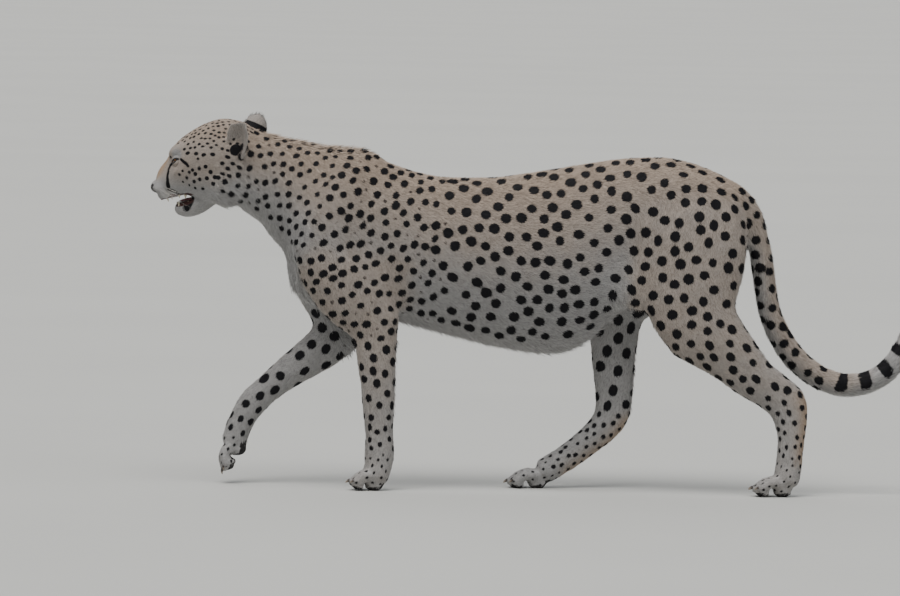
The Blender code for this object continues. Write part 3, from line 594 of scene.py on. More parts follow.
def skin_map(mesh, kinds, side, arc, girth):
    """An unwrap by part: arc length one way and the share of the girth the other way."""
    # Part: left edge, lower edge, width and height of its chart
    charts = {
        ("trunk", 0): (0.01, 0.60, 0.98, 0.39), ("head", 0): (0.01, 0.31, 0.48, 0.27),
        ("tail", 0): (0.51, 0.44, 0.48, 0.14),
        ("ear", LEFT): (0.51, 0.31, 0.11, 0.11), ("ear", RIGHT): (0.64, 0.31, 0.11, 0.11),
        ("fore", LEFT): (0.01, 0.16, 0.48, 0.13), ("fore", RIGHT): (0.01, 0.01, 0.48, 0.13),
        ("hind", LEFT): (0.51, 0.16, 0.48, 0.13), ("hind", RIGHT): (0.51, 0.01, 0.48, 0.13),
    }
    loops = read(mesh.loops, "vertex_index", kind=np.int32)
    starts = read(mesh.polygons, "loop_start", kind=np.int32)
    totals = read(mesh.polygons, "loop_total", kind=np.int32)
    leader = np.repeat(loops[starts], totals)       # one corner that places its whole face
    turn = girth[leader] + (girth[loops] - girth[leader] + 0.5) % 1.0 - 0.5
    along = arc[leader] + np.clip(arc[loops] - arc[leader], -FACE_REACH, FACE_REACH)
    coords = np.zeros((len(loops), 2))
    single = np.isin(kinds, ("trunk", "head", "tail"))
    hand = np.where(single, 0, side)
    for (kind, which), (left, low, width, height) in charts.items():
        own = (kinds == kind) & (hand == which)
        chosen = own[leader]
        span = arc[own].min(), arc[own].max()
        share = (along[chosen] - span[0]) / (span[1] - span[0])
        coords[chosen, 0] = left + width * np.clip(0.02 + 0.96 * share, 0, 1)
        coords[chosen, 1] = low + height * np.clip(0.5 + 0.86 * turn[chosen], 0, 1)
    coords += (np.random.default_rng(SEED).random(coords.shape) - 0.5) * MAP_SHAKE
    mapped(mesh, coords)


# ---- markings --------------------------------------------------------------------------------
# Part: spot half length along the hair and across it, as shares of the spacing, and dots
SPOT_SHAPES = {
    "head": (0.31, 0.235, 0.0), "lower_jaw": (0.20, 0.19, 0.0),
    "neck": (0.26, 0.33, 0.7), "chest": (0.280, 0.360, 0.8), "belly": (0.315, 0.310, 0.25),
    "rump": (0.300, 0.310, 0.5), "upper_arm": (0.280, 0.350, 0.7), "forearm": (0.300, 0.260, 0.2),
    "forepaw": (0.20, 0.17, 0.0), "thigh": (0.315, 0.315, 0.5), "shank": (0.315, 0.285, 0.3),
    "metatarsus": (0.285, 0.255, 0.0), "hindpaw": (0.20, 0.17, 0.0), "tail": (0.30, 0.36, 0.0),
}
RING_START = 0.490              # arc length along the tail where spots join into rings
RING_PITCH = 0.056
RING_SHARE = 0.47
TAIL_WHITE = 0.735              # from here the tip is white
FAR = 1.0                       # a distance that no mark reaches
MARKS = ("spot", "dot", "mark")
ROOT_PULL = 0.30                # share of its root's distance that a tuft adds to its own
PULL_REACH = 0.0030             # the most of that distance that counts
FACE_SPREAD = 0.0008            # of the face's marks, against the hair that covers their edges
MARK_REACH = 0.78               # share of a tuft's length at which its tip takes its marks


def scattered(points, spacing, rng, taken=None):
    """Corners picked in a shuffled order, each kept if it is clear of those kept before."""
    kept = np.zeros((4000, 3))
    chosen = []
    blocked = taken if taken is not None else np.zeros((0, 3))
    for number in rng.permutation(np.flatnonzero(spacing > 0)):
        gap = spacing[number]
        place = points[number]
        count = len(chosen)
        if count and (((kept[:count] - place) ** 2).sum(axis=1) < gap * gap).any():
            continue
        if len(blocked) and (((blocked - place) ** 2).sum(axis=1) < (1.15 * gap) ** 2).any():
            continue
        kept[count] = place
        chosen.append(number)
    return np.array(chosen, int)


def oval_distance(points, ovals):
    """Signed distance to the nearest of many ovals that lie on the skin. Negative inside.

    Each oval has a middle, directions along, across and out of the skin, and its half length
    and half width. Distance through the body counts too, so that an oval on one side doesn't
    show on the other. The three ovals with the nearest middles are tried."""
    found = np.full(len(points), FAR)
    middles, along, across, out_of, halves = ovals
    for rows, close, apart in batches(points, middles, 0.06, 2000):
        for _ in range(3 if len(close) >= 3 else 0):
            nearest = apart.argmin(axis=1)
            apart[np.arange(len(rows)), nearest] = np.inf
            near = close[nearest]
            out = points[rows] - middles[near]
            lengthways = shares_along(out, along[near]) / halves[near, 0]
            crossways = shares_along(out, across[near]) / halves[near, 1]
            through = shares_along(out, out_of[near]) / (2.2 * halves[near, 1])
            size = np.sqrt(halves[near, 0] * halves[near, 1])
            distance = (np.sqrt(lengthways**2 + crossways**2 + through**2) - 1) * size
            found[rows] = np.minimum(found[rows], distance)
    return found


def ovals_on(points, normals, heading, halves):
    """The ovals of all corners whose half length isn't 0."""
    sites = np.flatnonzero(halves[:, 0] > 0)
    along, out_of = heading[sites], normals[sites]
    return points[sites], along, np.cross(out_of, along), out_of, halves[sites]


def ring_distance(arc, girth):
    """Signed distance to the rings of the tail, which stay open underneath at first."""
    ring = np.abs((arc - RING_START) / RING_PITCH % 1.0 - 0.5) - RING_SHARE / 2
    ring = np.where(arc > RING_START - 0.3 * RING_PITCH, ring * RING_PITCH, FAR)
    under_tail = ramp(np.abs(girth), 0.30, 0.42) * (1 - ramp(arc, 0.62, 0.70))
    return np.where(arc > TAIL_WHITE, FAR, ring + 0.020 * under_tail)


def face_marks(points, skin_points, skin_normals):
    """Signed distance to the tear lines, lip lines, streaks and set spots of both cheeks."""
    found = np.full(len(points), FAR)
    for hand in SIDES:
        for rows in (TEAR_LINE, EYE_STREAK, LIP_LINE, LOWER_LIP):
            line = laid(skin_points, skin_normals, rows, hand)
            found = np.minimum(found, stroke(points, line, [row[2] for row in rows]))
        for first, last, count in FACE_ROWS:
            rows = np.linspace(first, last, count)
            for place, row in zip(laid(skin_points, skin_normals, rows, hand), rows):
                found = np.minimum(found, lengths_of(points - place) - row[2])
    return found - FACE_SPREAD


def ear_marks_and_shade(points, normals, on_ear):
    """Signed distance to the black back of each ear and to painted shade in the hollow at its root.
    """
    found = np.full(len(points), FAR)
    for hand in SIDES:
        base, upward, facing = ear_axes(hand)
        out = points - base
        height, front = out @ upward, normals @ facing
        near = lengths_of(out) < 0.12
        back = np.maximum(np.abs(height - 0.036) - 0.017, 0.010 * (front + 0.25) * 4)
        back = np.where(on_ear, back, FAR)
        # painted shade: a dark patch on the front of the hollow at the ear's root
        hollow = lengths_of(out - facing * 0.010 - upward * 0.010) - 0.0135
        hollow = np.maximum(hollow, 0.010 * (0.10 - front) * 4)
        found = np.where(near, np.minimum(found, np.minimum(back, hollow)), found)
    return found


def stroke(points, line, half_widths):
    """Signed distance to a line with a width that changes along it. Negative inside."""
    found = np.full(len(points), FAR)
    for number, share, _, away in spans(points, np.asarray(line, float)):
        width = half_widths[number] + share * (half_widths[number + 1] - half_widths[number])
        found = np.minimum(found, away - width)
    return found


def laid(points, normals, rows, side):
    """Places on the face seen from its left side, put on the skin, and for the right mirrored.

    A row is x and z seen square from the animal's left, before it is centred."""
    flat = np.asarray([(row[0], row[1]) for row in rows]) + CENTRING[[0, 2]]
    outer = (points[:, 1] < CENTRING[1] + 0.02) & (normals[:, 1] < -0.05)
    seen = points[outer]
    behind = (seen[:, 1] - CENTRING[1]) * 0.15      # so that the mouth's inner walls aren't picked
    picked = seen[nearest_rows(np.c_[flat, np.full(len(flat), -0.006)],
                               np.c_[seen[:, 0], seen[:, 2], behind])]
    if side == LEFT:
        return picked
    return points[nearest_rows(posed(straightened(picked) * (1, -1, 1)), points)]


# Marks of the face: x, z seen from the left, and half width
TEAR_LINE = ((-0.6600, 0.7335, 0.0024), (-0.6674, 0.7303, 0.0024), (-0.6726, 0.7262, 0.0025),
             (-0.6780, 0.7192, 0.0026), (-0.6825, 0.7080, 0.0027), (-0.6851, 0.6951, 0.0031),
             (-0.6846, 0.6823, 0.0038), (-0.6830, 0.6700, 0.0052))
EYE_STREAK = ((-0.6540, 0.7330, 0.0020), (-0.6480, 0.7285, 0.0030), (-0.6415, 0.7235, 0.0034),
              (-0.6360, 0.7190, 0.0026))
LIP_LINE = ((-0.6819, 0.6624, 0.0024), (-0.6706, 0.6598, 0.0030), (-0.6578, 0.6518, 0.0036),
            (-0.6450, 0.6440, 0.0048), (-0.6310, 0.6435, 0.0068))
LOWER_LIP = ((-0.6660, 0.6230, 0.0065), (-0.6560, 0.6260, 0.0090), (-0.6434, 0.6303, 0.0100),
             (-0.6322, 0.6367, 0.0085))
# Rows of small round spots on the brow, cheek and jaw: first spot, last spot, how many
FACE_ROWS = (
    ((-0.6787, 0.7353, 0.0026), (-0.6787, 0.7353, 0.0026), 1),
    ((-0.6145, 0.7353, 0.0028), (-0.6033, 0.7433, 0.0036), 2),
    ((-0.6258, 0.7095, 0.0036), (-0.5969, 0.7176, 0.0042), 3),
    ((-0.6492, 0.7073, 0.0025), (-0.6193, 0.7016, 0.0042), 3),
    ((-0.6562, 0.6983, 0.0030), (-0.6225, 0.6836, 0.0040), 3),
    ((-0.6097, 0.6887, 0.0042), (-0.5754, 0.6951, 0.0045), 3),
    ((-0.6482, 0.6807, 0.0023), (-0.6203, 0.6688, 0.0030), 3),
    ((-0.6017, 0.6678, 0.0035), (-0.5793, 0.6797, 0.0046), 2),
    ((-0.5841, 0.7064, 0.0044), (-0.5312, 0.6736, 0.0050), 4),
)


def markings(mesh, fields, rng):
    """Stores the distances to spots, dots and marks, and the shares of each ground colour."""
    points, normals, part, side, kinds, arc, girth, _, _, edges = fields
    names = np.array(PART_NAMES)[part]
    spacing = PART_SIZES[part, 4]
    height = trunk_height(points)
    face = straightened(points)
    low = ramp(height, 0.02, 0.16)
    spacing[(kinds == "trunk") & (low < 0.35)] = 0
    inner = np.where(np.isin(kinds, ("fore", "hind")), -normals[:, 1] * side, 0)
    spacing[(inner > 0.25) & np.isin(names, ("upper_arm", "thigh", "forearm", "shank"))] *= 1.20
    lower_leg = np.isin(names, ("forearm", "metatarsus", "shank"))
    spacing[lower_leg] *= (0.62 + 0.38 * ramp(points[:, 2], 0.08, 0.26))[lower_leg]
    on_head = kinds == "head"
    spacing[on_head] *= (1 - 0.34 * ramp(face[:, 2], 0.745, 0.775))[on_head]
    snout = ramp(-face[:, 0], 0.630, 0.660)
    cheek = (face[:, 0] < -0.545) & (face[:, 2] < 0.752)
    bare_face = on_head & ((snout > 0.2) & (face[:, 2] < 0.770) | cheek | (face[:, 2] < 0.655))
    ringed = (kinds == "tail") & (arc > RING_START - 0.02)
    spacing[bare_face | ringed | (kinds == "ear")] = 0
    sites = scattered(points, spacing * 0.83, rng)
    shapes = np.array([SPOT_SHAPES.get(name, (0.2, 0.2, 0.0)) for name in PART_NAMES])
    vary = rng.uniform(0.84, 1.14, (len(sites), 2))
    halves = np.zeros((len(points), 3))
    halves[sites, :2] = spacing[sites][:, None] * shapes[part[sites], :2] * vary
    gap = np.where(shapes[part, 2] > 0, spacing * 0.56 / np.maximum(shapes[part, 2], 0.2) ** 0.5, 0)
    between = scattered(points, gap, rng, taken=points[sites])
    dots = np.zeros((len(points), 3))
    dots[between, :2] = rng.uniform(0.0030, 0.0046, len(between))[:, None] * (1.0, 1.15)
    stored(mesh, "spot_halves", halves)
    stored(mesh, "dot_halves", dots)

    pale = np.zeros(len(points))
    trunk = kinds == "trunk"
    pale[trunk] = (1 - ramp(height, 0.10, 0.95))[trunk]
    limb = np.isin(kinds, ("fore", "hind"))
    lower = 1 - ramp(points[:, 2], 0.10, 0.38)
    pale[limb] = np.clip(0.34 + 0.40 * lower + 0.85 * ramp(inner, -0.15, 0.55), 0, 1)[limb]
    tail = kinds == "tail"
    pale[tail] = np.clip(0.15 + 0.75 * ramp(np.abs(girth), 0.2, 0.42)
                         + ramp(arc, 0.50, 0.66), 0, 1)[tail]
    chin = 1 - ramp(face[:, 2], 0.622, 0.682)
    muzzle = ramp(-face[:, 0], 0.660, 0.695) * (1 - ramp(face[:, 2], 0.662, 0.690))
    throat = (1 - ramp(face[:, 2], 0.640, 0.720)) * 0.7
    above_eye = ramp(0.016 - lengths_of(
        face * (1, 0, 1) - (-0.658, 0, 0.748)), 0, 0.010)
    pale[on_head] = np.clip(0.34 + chin + muzzle + throat + 0.8 * above_eye, 0, 1)[on_head]
    pale[kinds == "ear"] = 0.55
    pale = evened(pale, edges, 14)
    gold = np.zeros(len(points))
    gold[names == "metatarsus"] = (0.75 * ramp(normals[:, 0], 0.0, 0.7))[names == "metatarsus"]
    bridge = ramp(-face[:, 0], 0.640, 0.680) * ramp(face[:, 2], 0.680, 0.698)
    gold[on_head] = (0.85 * bridge * (1 - ramp(np.abs(face[:, 1]), 0.012, 0.026)))[on_head]
    crown = ramp(face[:, 2], 0.760, 0.800) * 0.35
    gold[on_head] = np.maximum(gold, crown)[on_head]
    gold[trunk] = (0.30 * ramp(height, 0.72, 1.0))[trunk]
    gold = evened(gold, edges, 10)
    stored(mesh, "pale", pale)
    stored(mesh, "gold", gold)


class Pattern:
    """The black and brown marks of the skin, with painted shade in the ears' hollows, worked out
    for any places near it.
    """

    def __init__(self, mesh):
        self.points, self.normals = corners_of(mesh), normals_of(mesh)
        heading = fetched(mesh, "heading")
        self.spots, self.dots = [
            ovals_on(self.points, self.normals, heading, fetched(mesh, name))
            for name in ("spot_halves", "dot_halves")]
        head = among(numbered(mesh, "part"), "head", "lower_jaw", "neck")
        self.head_points, self.head_normals = self.points[head], self.normals[head]

    def at(self, places, normals, part, arc, girth):
        """Signed distances to spots, dots and marks. Part, arc and girth are the skin's there."""
        kinds = PART_KINDS[part]
        spot = oval_distance(places, self.spots)
        dot = oval_distance(places, self.dots)
        mark = np.full(len(places), FAR)
        tail, ear = kinds == "tail", kinds == "ear"
        spot[tail] = np.minimum(spot[tail], ring_distance(arc[tail], girth[tail]))
        face = (kinds == "head") & (places[:, 0] < -0.70)
        mark[face] = face_marks(places[face], self.head_points, self.head_normals)
        # marks near the ears take in painted shade in their hollows
        near_ear = ear | ((kinds == "head") & (places[:, 0] > -0.70))
        mark[near_ear] = ear_marks_and_shade(places[near_ear], normals[near_ear], ear[near_ear])
        return spot, dot, mark


# ---- the finished skin -----------------------------------------------------------------------
# Paw: its knuckle (x, y outwards, z), the way it points, and its side
PAWS = {
    "left_forepaw": ((-0.206, 0.072, 0.026), (-1.0, 0.0, -0.12), LEFT),
    "right_forepaw": ((-0.530, 0.077, 0.086), (-0.34, 0.0, -0.94), RIGHT),
    "left_hindpaw": ((0.708, 0.075, 0.026), (-1.0, 0.0, -0.12), LEFT),
    "right_hindpaw": ((0.160, 0.077, 0.0250), (-1.0, 0.0, -0.16), RIGHT),
}


def paw_axes(paw):
    """Knuckle and the paw's forward and upward directions, in the frame."""
    point, forward, side = PAWS[paw]
    forward = unit(np.array(forward))
    return mirrored([point], side)[0], forward, np.cross((0.0, 1.0, 0.0), forward)


def eye_axes(side):
    """Middle of the eye, its gaze, and the directions along and across its slit, head straight."""
    middle = np.array(EYE_CENTRE) * (1, side, 1)
    gaze = unit(np.array(GAZE) * (1, side, 1))
    along = np.array(SLIT_LINE)
    along = unit(along - (along @ gaze) * gaze)
    across = np.cross(gaze, along) * (-side)
    return middle, gaze, along, across if across[2] > 0 else -across


def slit_margin(lengthways, crossways):
    """How far past the almond's edge a place is, in eye radii: |v| - h (1 - (u / l)^2)."""
    height = SLIT_HALF_HEIGHT * (1 - (lengthways / SLIT_HALF_LENGTH) ** 2)
    past_ends = np.maximum(np.abs(lengthways) - SLIT_HALF_LENGTH, 0)
    return np.where(past_ends > 0, np.hypot(past_ends, crossways), np.abs(crossways) - height)


def lidded(points):
    """Skin drawn to a lid's thickness round each eye, and let in behind it at the slit.

    Gives the new places and the margin, in metres, from the edge of the slit."""
    straight = straightened(points)
    margin = np.full(len(points), FAR)
    for side in SIDES:
        middle, gaze, along, across = eye_axes(side)
        out = straight - middle
        distance = lengths_of(out)
        ray = out / distance[:, None]
        facing = ray @ gaze
        lengthways, crossways = ray @ along, ray @ across
        edge = slit_margin(lengthways, crossways)
        near = (facing > 0.2) & (distance < LID_REACH)
        crease = np.exp(-((edge - 0.20) / 0.06) ** 2) * (crossways > 0)
        bag = np.exp(-((edge - 0.24) / 0.09) ** 2) * (crossways < 0)
        lid = EYE_RADIUS + LID - 0.0009 * crease + 0.0004 * bag
        lid = lid + 0.0005 * np.exp(-((edge - 0.05) / 0.05) ** 2)
        hidden = EYE_RADIUS - HIDDEN
        wanted = hidden + (lid - hidden) * ramp(edge, -0.055, 0.005)
        share = ramp(facing, 0.60, 0.83) * near
        reached = distance + (wanted - distance) * share
        straight = np.where(near[:, None], middle + ray * reached[:, None], straight)
        margin = np.where(near & (facing > 0.6), np.minimum(margin, edge * EYE_RADIUS), margin)
    return posed(straight), margin


def under_nose(points):
    """Skin below the nose drawn back, by the overhang times how far forward and low it is."""
    straight = straightened(points)
    share = ramp(-straight[:, 0], 0.690, 0.716) * (1 - ramp(straight[:, 2], 0.655, 0.668))
    return posed(straight + share[:, None] * (OVERHANG, 0, 0))


def nose_depth(straight):
    """1 inside a form a little larger than the nose, 0 outside it."""
    out = (straight - NOSE_CENTRE) / np.array(NOSE_RADII)
    return 1 - ramp(lengths_of(out), 1.02, 1.16)


def mouth_lining(straight, normals):
    """1 on the palate and on the trough of the lower jaw."""
    facing = normals @ np.array(head_pose().to_3x3())
    inside = ramp(-straight[:, 0], 0.585, 0.600) * (np.abs(straight[:, 1]) < 0.030)
    palate = ramp(-facing[:, 2], 0.55, 0.80) * (straight[:, 2] > 0.632) * (straight[:, 2] < 0.658)
    trough = ramp(facing[:, 2], 0.35, 0.60) * (straight[:, 2] > 0.622) * (straight[:, 2] < 0.645)
    return inside * np.clip(palate + trough, 0, 1)


def soles(points, normals, part):
    """1 on the soles of the four paws."""
    found = np.zeros(len(points))
    paws = among(part, "forepaw", "hindpaw")
    for paw in PAWS:
        knuckle, _, upward = paw_axes(paw)
        out = points - knuckle
        near = paws & (lengths_of(out) < 0.10)
        low = ramp(-(out @ upward), 0.006, 0.014)
        found = np.maximum(found, near * low * ramp(-(normals @ upward), 0.35, 0.62))
    return found


def finished_skin():
    """The whole skin: laid inside the solids by the coat's depth, with its fields stored."""
    mesh = bare_skin()
    fields = skin_fields(mesh)
    points, normals, part, side, kinds, arc, girth, heading, centre, edges = fields
    skin_map(mesh, kinds, side, arc, girth)
    rng = np.random.default_rng(SEED)
    markings(mesh, fields, rng)
    stored(mesh, "heading", heading)
    stored(mesh, "part", part)
    pattern = Pattern(mesh)
    for name, values in zip(MARKS, pattern.at(points, normals, part, arc, girth)):
        stored(mesh, name, values)
    sizes = PART_SIZES[part]
    straight = straightened(points)
    lining = mouth_lining(straight, normals)
    nose = nose_depth(straight) * (kinds == "head")
    sole = soles(points, normals, part)
    depth, length, width, density = [
        evened(sizes[:, column], edges, 12) for column in range(4)]
    front = ramp(-straight[:, 0], 0.590, 0.690) * (kinds == "head")
    ahead = ramp(-(normals @ np.array(head_pose().to_3x3())[:, 0]), 0.45, 0.85) * front
    length, width = length * (1 - 0.56 * front) * (1 - 0.40 * ahead), width * (1 - 0.25 * front)
    density = density * (1 + 0.7 * front)
    depth = depth * (1 - np.maximum(lining, sole)) * (1 - nose) + 0.0026 * nose + 0.0004 * lining
    depth = evened(depth, edges, 2)
    inset = points - normals * depth[:, None]
    placed, margin = lidded(np.where((kinds == "head")[:, None], under_nose(inset), inset))
    moved(mesh, placed)
    open_eye = 1 - ramp(margin, 0.0020, 0.0036)
    for name, values in (("part", part), ("side", side), ("arc", arc), ("girth", girth),
                         ("heading", heading), ("depth", depth), ("length", length),
                         ("width", width), ("density", density), ("lining", lining),
                         ("sole", sole), ("nose", nose), ("margin", margin),
                         ("bald", np.maximum.reduce((lining, sole, nose, open_eye)))):
        stored(mesh, name, values)
    stored(mesh, "comb", squared_to(points - centre, heading) + heading * (arc * 0.12)[:, None])
    return mesh


# ---- the coat --------------------------------------------------------------------------------
# Piece: the parts that it covers, and the side if it is on one only
COAT_GROUPS = {"coat_head": (("head", "lower_jaw"), None), "coat_ears": (("ear",), None)}
for _part in ("neck", "chest", "belly", "rump", "tail"):
    COAT_GROUPS["coat_" + _part] = (_part,), None
for _limb, _parts in LIMB_PARTS.items():
    for _side, _hand in SIDES.items():
        COAT_GROUPS[f"coat_{_hand}_{_limb}leg"] = _parts, _side
GROUNDS = ("pale", "gold")      # colours that each tuft takes from its root
PATCH = 0.0030                  # width of a tuft on the skin's map
ROOT_DEPTH = 0.0004             # of a tuft's root in the skin
FLOOR_GAP = 0.0003              # under the lowest hair


class Roots:
    """Places on the skin where tufts grow, with what the skin stores there."""

    def __init__(self, mesh, rows, shares):
        self.triangles = triangles_of(mesh)[rows]
        self.shares = shares
        self.mesh = mesh
        loops = read(mesh.loop_triangles, "loops", 3, np.int32)
        uv = read(mesh.uv_layers["OFBake"].uv, "vector", 2)
        self.uv = (uv[loops[rows]] * shares[:, :, None]).sum(1)

    def of(self, values):
        """A field of the skin's corners, read at the roots."""
        weights = self.shares if values.ndim == 1 else self.shares[:, :, None]
        return (values[self.triangles] * weights).sum(axis=1)

    def named(self, name):
        return self.of(fetched(self.mesh, name))


def rooted(mesh, weight, rng):
    """Random places over the skin, as many per square metre as the weight at its corners."""
    triangles = triangles_of(mesh)
    corners = corners_of(mesh)[triangles]
    area = lengths_of(np.cross(corners[:, 1] - corners[:, 0], corners[:, 2] - corners[:, 0])) / 2
    wanted = area * weight[triangles].mean(axis=1)
    counts = np.floor(wanted + rng.random(len(wanted))).astype(int)
    rows = np.repeat(np.arange(len(triangles)), counts)
    first, second = rng.random(len(rows)), rng.random(len(rows))
    root = np.sqrt(first)
    shares = np.stack((1 - root, root * (1 - second), root * second), axis=1)
    return Roots(mesh, rows, shares)


def turned_about(vectors, axes, angles):
    """Each vector turned about its own axis, where the two are square to each other."""
    return (vectors * np.cos(angles)[:, None]
            + np.cross(axes, vectors) * np.sin(angles)[:, None])


# A form of tuft: its thickness in widths, its corners and its faces.
# Corner: shares of the reach, bend, half width, thickness and root's depth that add up to its
# place, share along the tuft, lean of its normal across and along, and its place on the patch
SHORT_TUFT = (0.30, (
    (0, 0, -1, 0, 1, 0.0, -0.55, 0, -0.5, -0.35),
    (0, 0, 1, 0, 1, 0.0, 0.55, 0, 0.5, -0.35),
    (0.40, 0, 0, 1, 0, 0.45, 0, 0.10, 0.04, 0.05),
    (1, 0, 0, 0, 0, 1.0, 0, 0.20, 0.0, 0.5),
), ((0, 2, 3), (2, 1, 3), (0, 3, 1), (0, 1, 2)))
LONG_TUFT = (0.42, (
    (0, 0, -1, 0, 1, 0.0, -0.7, 0, -0.5, -0.5),
    (0, 0, 1, 0, 1, 0.0, 0.7, 0, 0.5, -0.5),
    (0, 0, 0, 1, 1, 0.0, 0, 0, 0.04, -0.35),
    (0.50, 0.25, -0.75, 0, 0, 0.5, -0.7, 0, -0.36, 0.05),
    (0.50, 0.25, 0.75, 0, 0, 0.5, 0.7, 0, 0.36, 0.0),
    (0.50, 0.25, 0, 0.8, 0, 0.5, 0, 0, 0.03, 0.12),
    (1, 1, 0, 0, 0, 1.0, 0, 0.3, 0.0, 0.5),
), ((0, 1, 2), (0, 2, 5), (0, 5, 3), (2, 1, 4), (2, 4, 5), (1, 0, 3), (1, 3, 4), (3, 5, 6),
    (5, 4, 6), (4, 3, 6)))


def tufts(name, roots, pattern, normal, flow, length, width, rise, rng, form, curl=0.0):
    """Closed tufts lying along the flow: flat blades of hair with a ridge and one tip.

    A short one has a left and a right root, a ridge and a tip. A long one has two
    three-cornered sections below its tip, and curls away from or to the skin."""
    thickness, corners, faces = form
    table = np.array(corners)
    share, spread = table[:, 5], table[:, 8:]
    count, size = len(normal), len(table)
    place = roots.of(pattern.points)
    across = np.cross(flow, normal)
    slope = (rise / length)[:, None]
    reach = (flow * np.sqrt(np.maximum(1 - slope**2, 0.05)) + normal * slope) * length[:, None]
    rows = place[:, None]
    for column, vectors in enumerate((
            reach, normal * (curl * length)[:, None], across * (width / 2)[:, None],
            normal * (width * thickness)[:, None], normal * -ROOT_DEPTH)):
        rows = rows + vectors[:, None] * table[:, column, None]
    shade = unit(normal[:, None] + across[:, None] * table[:, 6, None]
                 + flow[:, None] * table[:, 7, None])
    rows[..., 2] = np.maximum(rows[..., 2], FLOOR_GAP)
    every = (np.array(faces) + (np.arange(count) * size)[:, None, None]).reshape(-1, 3)
    mesh = mesh_from(name, rows.reshape(-1, 3), every)
    part = numbered(roots.mesh, "part")[roots.triangles[:, 0]]
    arc, girth = roots.named("arc"), fetched(roots.mesh, "girth")[roots.triangles[:, 0]]
    levels = sorted(set(share))
    found = [pattern.at(place + reach * along, normal, part, arc + length * along, girth)
             for along in MARK_REACH * np.array(levels)]
    for number, field in enumerate(MARKS):
        own = np.stack([found[levels.index(each)][number] for each in share], axis=1)
        if field != "mark":
            own = own + np.clip(own[:, :1], -PULL_REACH, PULL_REACH) * ROOT_PULL
        stored(mesh, field, own.ravel())
    for field in GROUNDS:
        stored(mesh, field, np.repeat(roots.named(field), size))
    stored(mesh, "tip", np.tile(share, count))
    stored(mesh, "shade", np.repeat(rng.random(count), size))
    uv = np.clip(roots.uv, 0.004, 0.996)[:, None] + spread * PATCH
    mapped(mesh, uv.reshape(-1, 2)[every.ravel()])
    mesh.normals_split_custom_set_from_vertices(shade.reshape(-1, 3))
    return mesh


def short_coat(name, skin_mesh, pattern, parts, side, density_share, rng):
    """The short flat coat of some parts, as one piece."""
    wanted = among(numbered(skin_mesh, "part"), *parts)
    if side is not None:
        wanted &= numbered(skin_mesh, "side") == side
    weight = np.where(wanted, fetched(skin_mesh, "density"), 0) * density_share
    weight = weight * (fetched(skin_mesh, "bald") < 0.5)
    roots = rooted(skin_mesh, weight, rng)
    normal = unit(roots.of(pattern.normals))
    flow = roots.named("heading")
    flow = unit(squared_to(flow, normal))
    count = len(normal)
    flow = turned_about(flow, normal, rng.normal(0, 0.17, count))
    length = roots.named("length") * rng.uniform(0.75, 1.25, count)
    width = roots.named("width") * rng.uniform(0.75, 1.30, count)
    rise = np.maximum(roots.named("depth"), 0.0004) * rng.uniform(0.35, 1.0, count)
    return tufts(name, roots, pattern, normal, flow, length, width, rise, rng, SHORT_TUFT)


def tops_and_edges(skin_mesh):
    """Where long hair stands: for each name, how thickly at each corner of the skin."""
    points, normals = corners_of(skin_mesh), normals_of(skin_mesh)
    part = numbered(skin_mesh, "part")
    kinds = PART_KINDS[part]
    names = np.array(PART_NAMES)[part]
    height = trunk_height(points)
    x, outwards, z = points[:, 0], np.abs(points[:, 1]), points[:, 2]
    trunk = kinds == "trunk"
    inside = 1 - (fetched(skin_mesh, "bald") > 0.2)
    crest = ramp(x, -0.680, -0.62) * (1 - ramp(x, -0.46, -0.22)) * ramp(normals[:, 2], 0.72, 0.97)
    ruff = ramp(x, -0.745, -0.715) * (1 - ramp(x, -0.640, -0.59)) * ramp(-normals[:, 2], -0.55, 0.2)
    ruff = ruff * (1 - ramp(z, 0.700, 0.735)) * np.isin(names, ("head", "neck"))
    fringe = trunk * (1 - ramp(height, 0.02, 0.13)) * (1 - 0.6 * (names == "neck"))
    fold = ramp(0.075 - np.hypot(x - 0.195, (z - 0.425) * 0.8), 0.0, 0.05)
    fold = fold * np.isin(names, ("belly", "thigh", "rump")) * ramp(outwards, 0.03, 0.06)
    behind = np.isin(names, ("thigh", "shank", "forearm")) * ramp(normals[:, 0], 0.55, 0.9)
    behind = behind * ramp(z, 0.12, 0.2)
    inner_ear = np.zeros(len(points))
    for hand in SIDES:
        _, _, facing = ear_axes(hand)
        own = (kinds == "ear") & (numbered(skin_mesh, "side") == hand)
        inner_ear = np.where(own, ramp(normals @ facing, 0.10, 0.5), inner_ear)
    tail = (kinds == "tail") * 1.0
    return {"crest": crest * trunk * inside, "ruff": ruff * inside, "fringe": fringe,
            "fold": fold, "behind": behind, "inner_ear": inner_ear, "tail": tail}


# Name: tufts per square metre, length, width, rise as a share of length, curl, and how far
# the hair turns from the flow to a direction of its own, with that direction
LONG_HAIR = {
    "crest": (56_000, 0.027, 0.0022, 0.36, 0.06, 0.15, (1.0, 0.0, 0.3)),
    "ruff": (32_000, 0.022, 0.0018, 0.18, -0.02, 0.55, (0.75, 0.0, -1.0)),
    "fringe": (30_000, 0.024, 0.0021, 0.42, 0.02, 0.55, (0.6, 0.0, -1.0)),
    "fold": (42_000, 0.022, 0.0020, 0.15, 0.0, 0.85, (0.10, 0.0, -1.0)),
    "behind": (34_000, 0.020, 0.0019, 0.30, 0.0, 0.30, (0.4, 0.0, -1.0)),
    "inner_ear": (150_000, 0.013, 0.0010, 0.34, 0.0, 0.0, (0.0, 0.0, 1.0)),
    "tail": (46_000, 0.020, 0.0021, 0.24, 0.02, 0.0, (0.0, 0.0, -1.0)),
}


